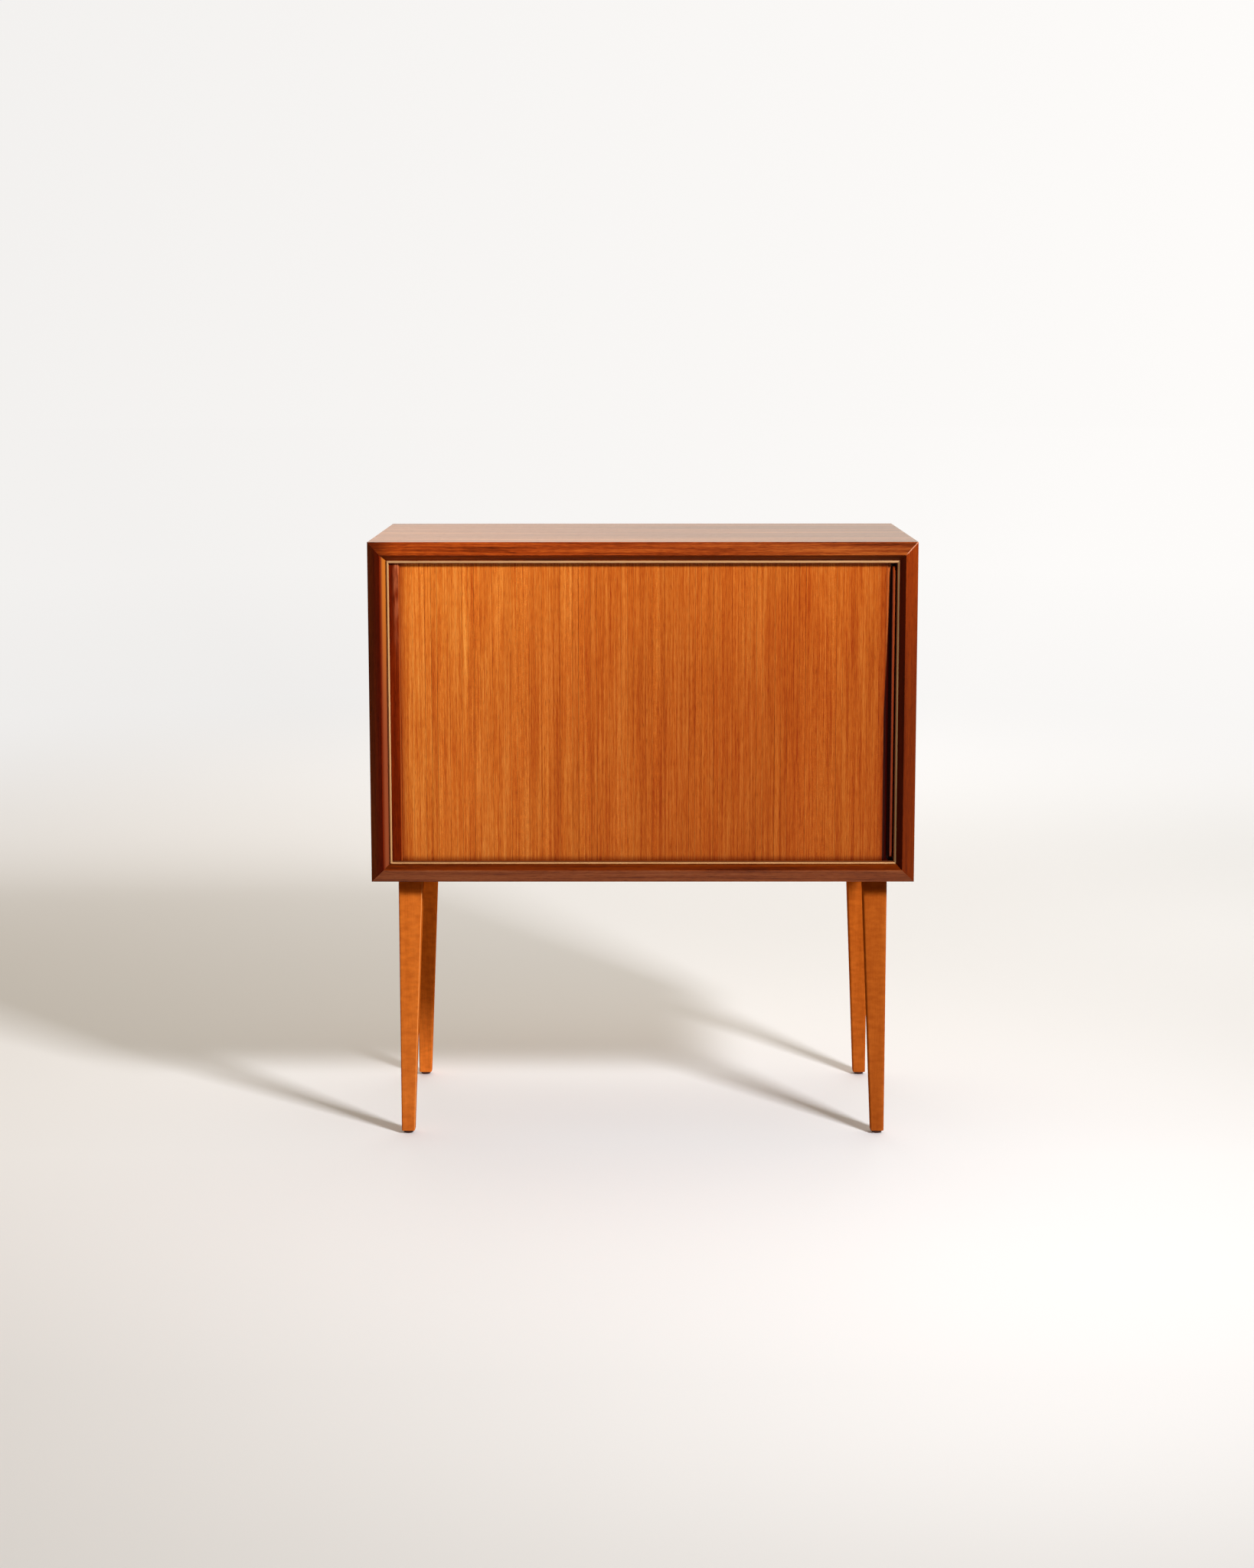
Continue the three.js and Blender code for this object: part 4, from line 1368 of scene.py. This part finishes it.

# %% [markdown]
# The woods of the front
#
# Each part has its own cut of teak. The slats are quarter cut and orange, and the pull and the
# cover strip are darker. The frame is darker and redder than the slats, and its left stile is
# painted almost brown as shade. The number after the grain's axis only moves the pattern.

# %% Mix the woods of the front
woods = {
    "slats": oiled_wood(
        "oiled_quarter_cut_teak", ("#862400", "#B2591B", "#CC7C38"), "Z", 3.1,
        band=20, line=2.0, wander=1.2, soft=0.205, shares=(0.3, 0.9, 0.65), pore=0.4,
        figures=(
            slat_steps, joint_grime, ray_flecks, warm_clouds, left_to_right, slats_painted_light_rising, painted_shade_by_strip,
            low_painted_shade, painted_shade_towards_cove, cove_painted_shade,
        ),
    ),
    "stile": oiled_wood(
        "oiled_quarter_cut_teak_stile", ("#87390F", "#AC5523", "#BE672B"), "Z", 5.3,
        band=20, line=1.8, figures=(cove_painted_shade,),
    ),
    "pull": oiled_wood(
        "oiled_solid_teak_pull", ("#641F06", "#7C2B0B", "#944015"), "Z", 7.7,
        band=12, line=1.6, roughness=0.35, gloss=0.3, figures=(pull_painted_shade,),
    ),
    "cover": oiled_wood(
        "oiled_dark_teak_strip", ("#440C00", "#661900", "#842A06"), "Z", 2.9,
        band=9, line=2.4, soft=0.13, gloss=0.05, figures=(painted_highlight_and_pale_edge,),
    ),
    "top_rail": oiled_wood(
        "oiled_teak_top_rail", ("#340C02", "#87370E", "#AE581C"), "X", 1.3,
        band=10, line=3.0, wander=9, soft=0.14,
        figures=(rail_fade, top_bevel_painted_shade, dark_end, mitre_painted_highlight),
    ),
    "bottom_rail": oiled_wood(
        "oiled_teak_bottom_rail", ("#4A1C12", "#8C4826", "#A4623C"), "X", 4.1,
        band=8, line=4.0, wander=14, soft=0.17, figures=(bottom_bevel_painted_shade,),
    ),
    # Painted shade: the left stile's colours are darker than the other bars', as its outer bevel
    # faces away from the key lamp.
    "left_stile": oiled_wood(
        "oiled_teak_left_stile_painted_shade", ("#3C0D02", "#5D1903", "#722608"), "Z", 6.1,
        band=12, line=2.4, wander=6, gloss=0.04, figures=(stile_turn, bevel_painted_highlight),
    ),
    "right_stile": oiled_wood(
        "oiled_teak_right_stile", ("#3E0F02", "#6C2606", "#843709"), "Z", 8.3,
        band=12, line=2.4, wander=6, soft=0.24, gloss=0.07,
        figures=(right_rising, right_bevel_painted_shade, mitre_painted_highlight),
    ),
}
print("woods of the front:", len(woods))

# %% [markdown]
# The woods of the case
#
# The top is cut flat and shows long fine lines. The inside is waxed and not oiled, so it is
# paler and duller. The legs are lighter than the case. The stringing is a white wood, such as
# box or maple, that has yellowed, and the back is birch plywood, which is pale and plain.

# %% Mix the woods of the case
woods.update({
    "top": oiled_wood(
        "oiled_flat_cut_teak_top", ("#4C200C", "#8A4A25", "#B8743D"), "X", 9.7,
        band=34, line=5.0, wander=10, soft=0.15, roughness=0.36, gloss=0.41,
        figures=(top_fade,),
    ),
    "side": oiled_wood(
        "oiled_flat_cut_teak_side", ("#5A2410", "#83401E", "#98552E"), "Z", 11.3,
        band=34, line=2.6, wander=10,
    ),
    "bottom": oiled_wood(
        "oiled_flat_cut_teak_bottom", ("#5A2410", "#7C3C1D", "#8F4F2B"), "X", 13.9,
        band=34, line=2.6, wander=10,
    ),
    "inside": oiled_wood(
        "waxed_teak_veneer_upright", ("#8A5230", "#A36A42", "#B57E54"), "Z", 15.1,
        band=40, line=2.8, wander=8, roughness=0.55,
    ),
    "inside_flat": oiled_wood(
        "waxed_teak_veneer_flat", ("#8A5230", "#A36A42", "#B57E54"), "X", 17.3,
        band=40, line=2.8, wander=8, roughness=0.55,
    ),
    "leg": oiled_wood(
        "oiled_solid_teak_leg", ("#9A4E12", "#BE6A22", "#CE7B2E"), "Z", 19.1,
        band=16, line=1.8, pore=0.08, soft=0.3, shares=(0.6, 0.2, 0.3), roughness=0.5, gloss=0.0,
        figures=(ripples, leg_side, back_legs_painted_light, leg_foot_wash, leg_painted_highlight, leg_painted_case_shadow),
    ),
    "stringing_across": oiled_wood(
        "inlaid_boxwood_across", ("#B98A55", "#C99B66", "#D4AA78"), "X", 21.1,
        band=30, line=1.5, pore=0.1, figures=(string_fade, stringing_painted_shade),
    ),
    "stringing_up": oiled_wood(
        "inlaid_boxwood_upright", ("#B98A55", "#C99B66", "#D4AA78"), "Z", 23.3,
        band=30, line=1.5, pore=0.1, figures=(stringing_painted_shade,),
    ),
    # Painted shade: the right stringing is a darker copy of the boxwood, for the shade of the
    # frame's ridge.
    "stringing_shade": oiled_wood(
        "inlaid_boxwood_painted_shade", ("#604A30", "#705838", "#806542"), "Z", 23.3,
        band=30, line=1.5, pore=0.1, figures=(stringing_painted_shade,),
    ),
    "back": oiled_wood(
        "sanded_birch_plywood", ("#BD9A70", "#CDAE86", "#D9BE99"), "Z", 25.7,
        band=60, line=4.0, wander=22, pore=0.15, roughness=0.65, gloss=0.25,
    ),
})
print("woods:", len(woods))

# %% [markdown]
# Canvas, metal and plastic
#
# The canvas is a plain weave: two sets of threads half a millimetre apart, drawn at 1.2 mm so
# that they show. It is matt, with the soft edge that loose fibres give. A Wave texture's bands
# are pi / 10 m apart at a scale of 1, which gives the weave its scale. The screws and bolts are
# zinc-plated steel with a dull, slightly mottled surface. The pins and inserts are turned
# brass, which is brighter. The glides are moulded nylon, dark brown and only a little glossy.

# %% Mix the other finishes
WAVE_TEXTURE_LENGTH = math.pi / 10
thread_relief = 0.2 * MM
grit_relief = 0.05 * MM
spot_glossier = 0.08
spot_duller = 0.1


def plain_weave(name, pale, dark, thread):
    """Linen canvas from two crossing waves, a thread apart in mm."""
    material, tree, place = new_finish(name)
    wave_scale = WAVE_TEXTURE_LENGTH / (thread * MM)
    wave = {"Vector": place, "Scale": wave_scale, "Distortion": 0.6, "Detail": 1.0}
    waves = {
        number: node(tree, "TexWave", wave, out="Fac", bands_direction=direction)
        for number, direction in enumerate(("X", "Z"))
    }
    weave = node(tree, "Math", waves, operation="MULTIPLY")
    stops = ((0.0, linear(dark)), (0.6, linear(pale)))
    colour = node(tree, "ValToRGB", {0: weave}, stops=stops)
    bump = node(tree, "Bump", {"Height": weave, "Strength": 0.5, "Distance": thread_relief})
    looks = {"Base Color": colour, "Normal": bump, "Roughness": 0.9, "Sheen Weight": 0.2}
    feed(tree.nodes["Principled BSDF"], looks)
    return material


def mottled(name, colour, other, grit, roughness, metallic):
    """A metal or plastic whose colour and gloss vary over spots of a size in mm."""
    material, tree, place = new_finish(name)
    spots = stretched(tree, place, grit, grit, 3.0)
    stops = ((0.3, linear(colour)), (0.7, linear(other)))
    shade = node(tree, "ValToRGB", {0: spots}, stops=stops)
    rough = {"Value": spots, "To Min": roughness - spot_glossier, "To Max": roughness + spot_duller}
    rough = node(tree, "MapRange", rough)
    bump = node(tree, "Bump", {"Height": spots, "Strength": 0.15, "Distance": grit_relief})
    looks = {"Base Color": shade, "Roughness": rough, "Normal": bump, "Metallic": metallic}
    feed(tree.nodes["Principled BSDF"], looks)
    return material


linen = plain_weave("woven_linen", "#C9BC9C", "#8F8468", thread=1.2)
zinc = mottled("zinc_plated_steel", "#B9BBBD", "#9A9DA1", 1.5, roughness=0.35, metallic=1.0)
brass = mottled("turned_brass", "#C9A45C", "#B08D4A", 2.0, roughness=0.3, metallic=1.0)
nylon = mottled("moulded_nylon", "#5A2810", "#44200E", 1.0, roughness=0.5, metallic=0.0)
print("finishes:", linen.name, zinc.name, brass.name, nylon.name)

# %% [markdown]
# Putting it together
#
# Every piece of the case now takes its finish. The boards and the four bars also take their body
# here, as the legs, the glides and the screws did above. The given pins, inserts and bolts have
# the right shape, so their solids stay and only get a metal.

# %% Give each board its wood
board_finish = {
    "top_panel": ("top", "teak_top"),
    "bottom_panel": ("bottom", "teak_case"),
    "left_side_panel": ("side", "teak_case"),
    "right_side_panel": ("side", "teak_case"),
    "cover_strip": ("cover", "teak_case"),
    "bottom_track_board": ("inside_flat", "teak_inside"),
    "top_track_board": ("inside_flat", "teak_inside"),
    "left_liner": ("inside", "teak_inside"),
    "inner_back": ("inside", "teak_inside"),
    "shelf": ("inside_flat", "teak_inside"),
    "back_panel": ("back", "back_plywood"),
    "stringing_top": ("stringing_across", "pale_stringing"),
    "stringing_bottom": ("stringing_across", "pale_stringing"),
    "stringing_left": ("stringing_up", "pale_stringing"),
    "stringing_right": ("stringing_shade", "pale_stringing"),
}
bar_finish = {
    "front_rail_top": "top_rail",
    "front_rail_bottom": "bottom_rail",
    "front_stile_left": "left_stile",
    "front_stile_right": "right_stile",
}
kept_solids = {"shelf_pin": brass, "leg_insert": brass, "leg_bolt": zinc}


def wear(piece, material):
    """Gives a piece one material all over."""
    piece.data.materials.clear()
    piece.data.materials.append(material)


for name, (wood, slot) in board_finish.items():
    wear(boards[name], woods[wood])
    take_place(boards[name], "case", slot, name)
for name, wood in bar_finish.items():
    wear(frame_bars[name], woods[wood])
    take_place(frame_bars[name], "case", "teak_frame", name)
for driven in back_screws:
    wear(driven, zinc)
for corner in corners:
    wear(legs[corner], woods["leg"])
    wear(glides[corner], nylon)
    for solid, metal in kept_solids.items():
        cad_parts[f"{solid}_{corner}"].data.materials[0] = metal
print("case dressed")

# %% [markdown]
# The door
#
# The slats and the canvas can't bend round the corner with the door, because the door moves as
# one body on a straight slide. Each of them gets a mesh of its own.

# %% Hang the door
for run, laid_run in enumerate(slat_runs, start=1):
    wear(laid_run, woods["slats"])
    take_place(laid_run, "tambour_door", "teak_slats", f"tambour_slats_{run}")
wear(canvas, linen)
take_place(canvas, "tambour_door", "linen_canvas", "tambour_canvas")
wear(lead_stile, woods["stile"])
take_place(lead_stile, "tambour_door", "teak_slats", "lead_stile")
wear(pull, woods["pull"])
take_place(pull, "tambour_door", "teak_pull", "pull_bar")
for soft in [*slat_runs, canvas]:
    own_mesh(soft)
print("door hung")

# %% [markdown]
# Finishing
#
# The last cell clears the selection.

# %% Finish
bpy.ops.object.select_all(action="DESELECT")
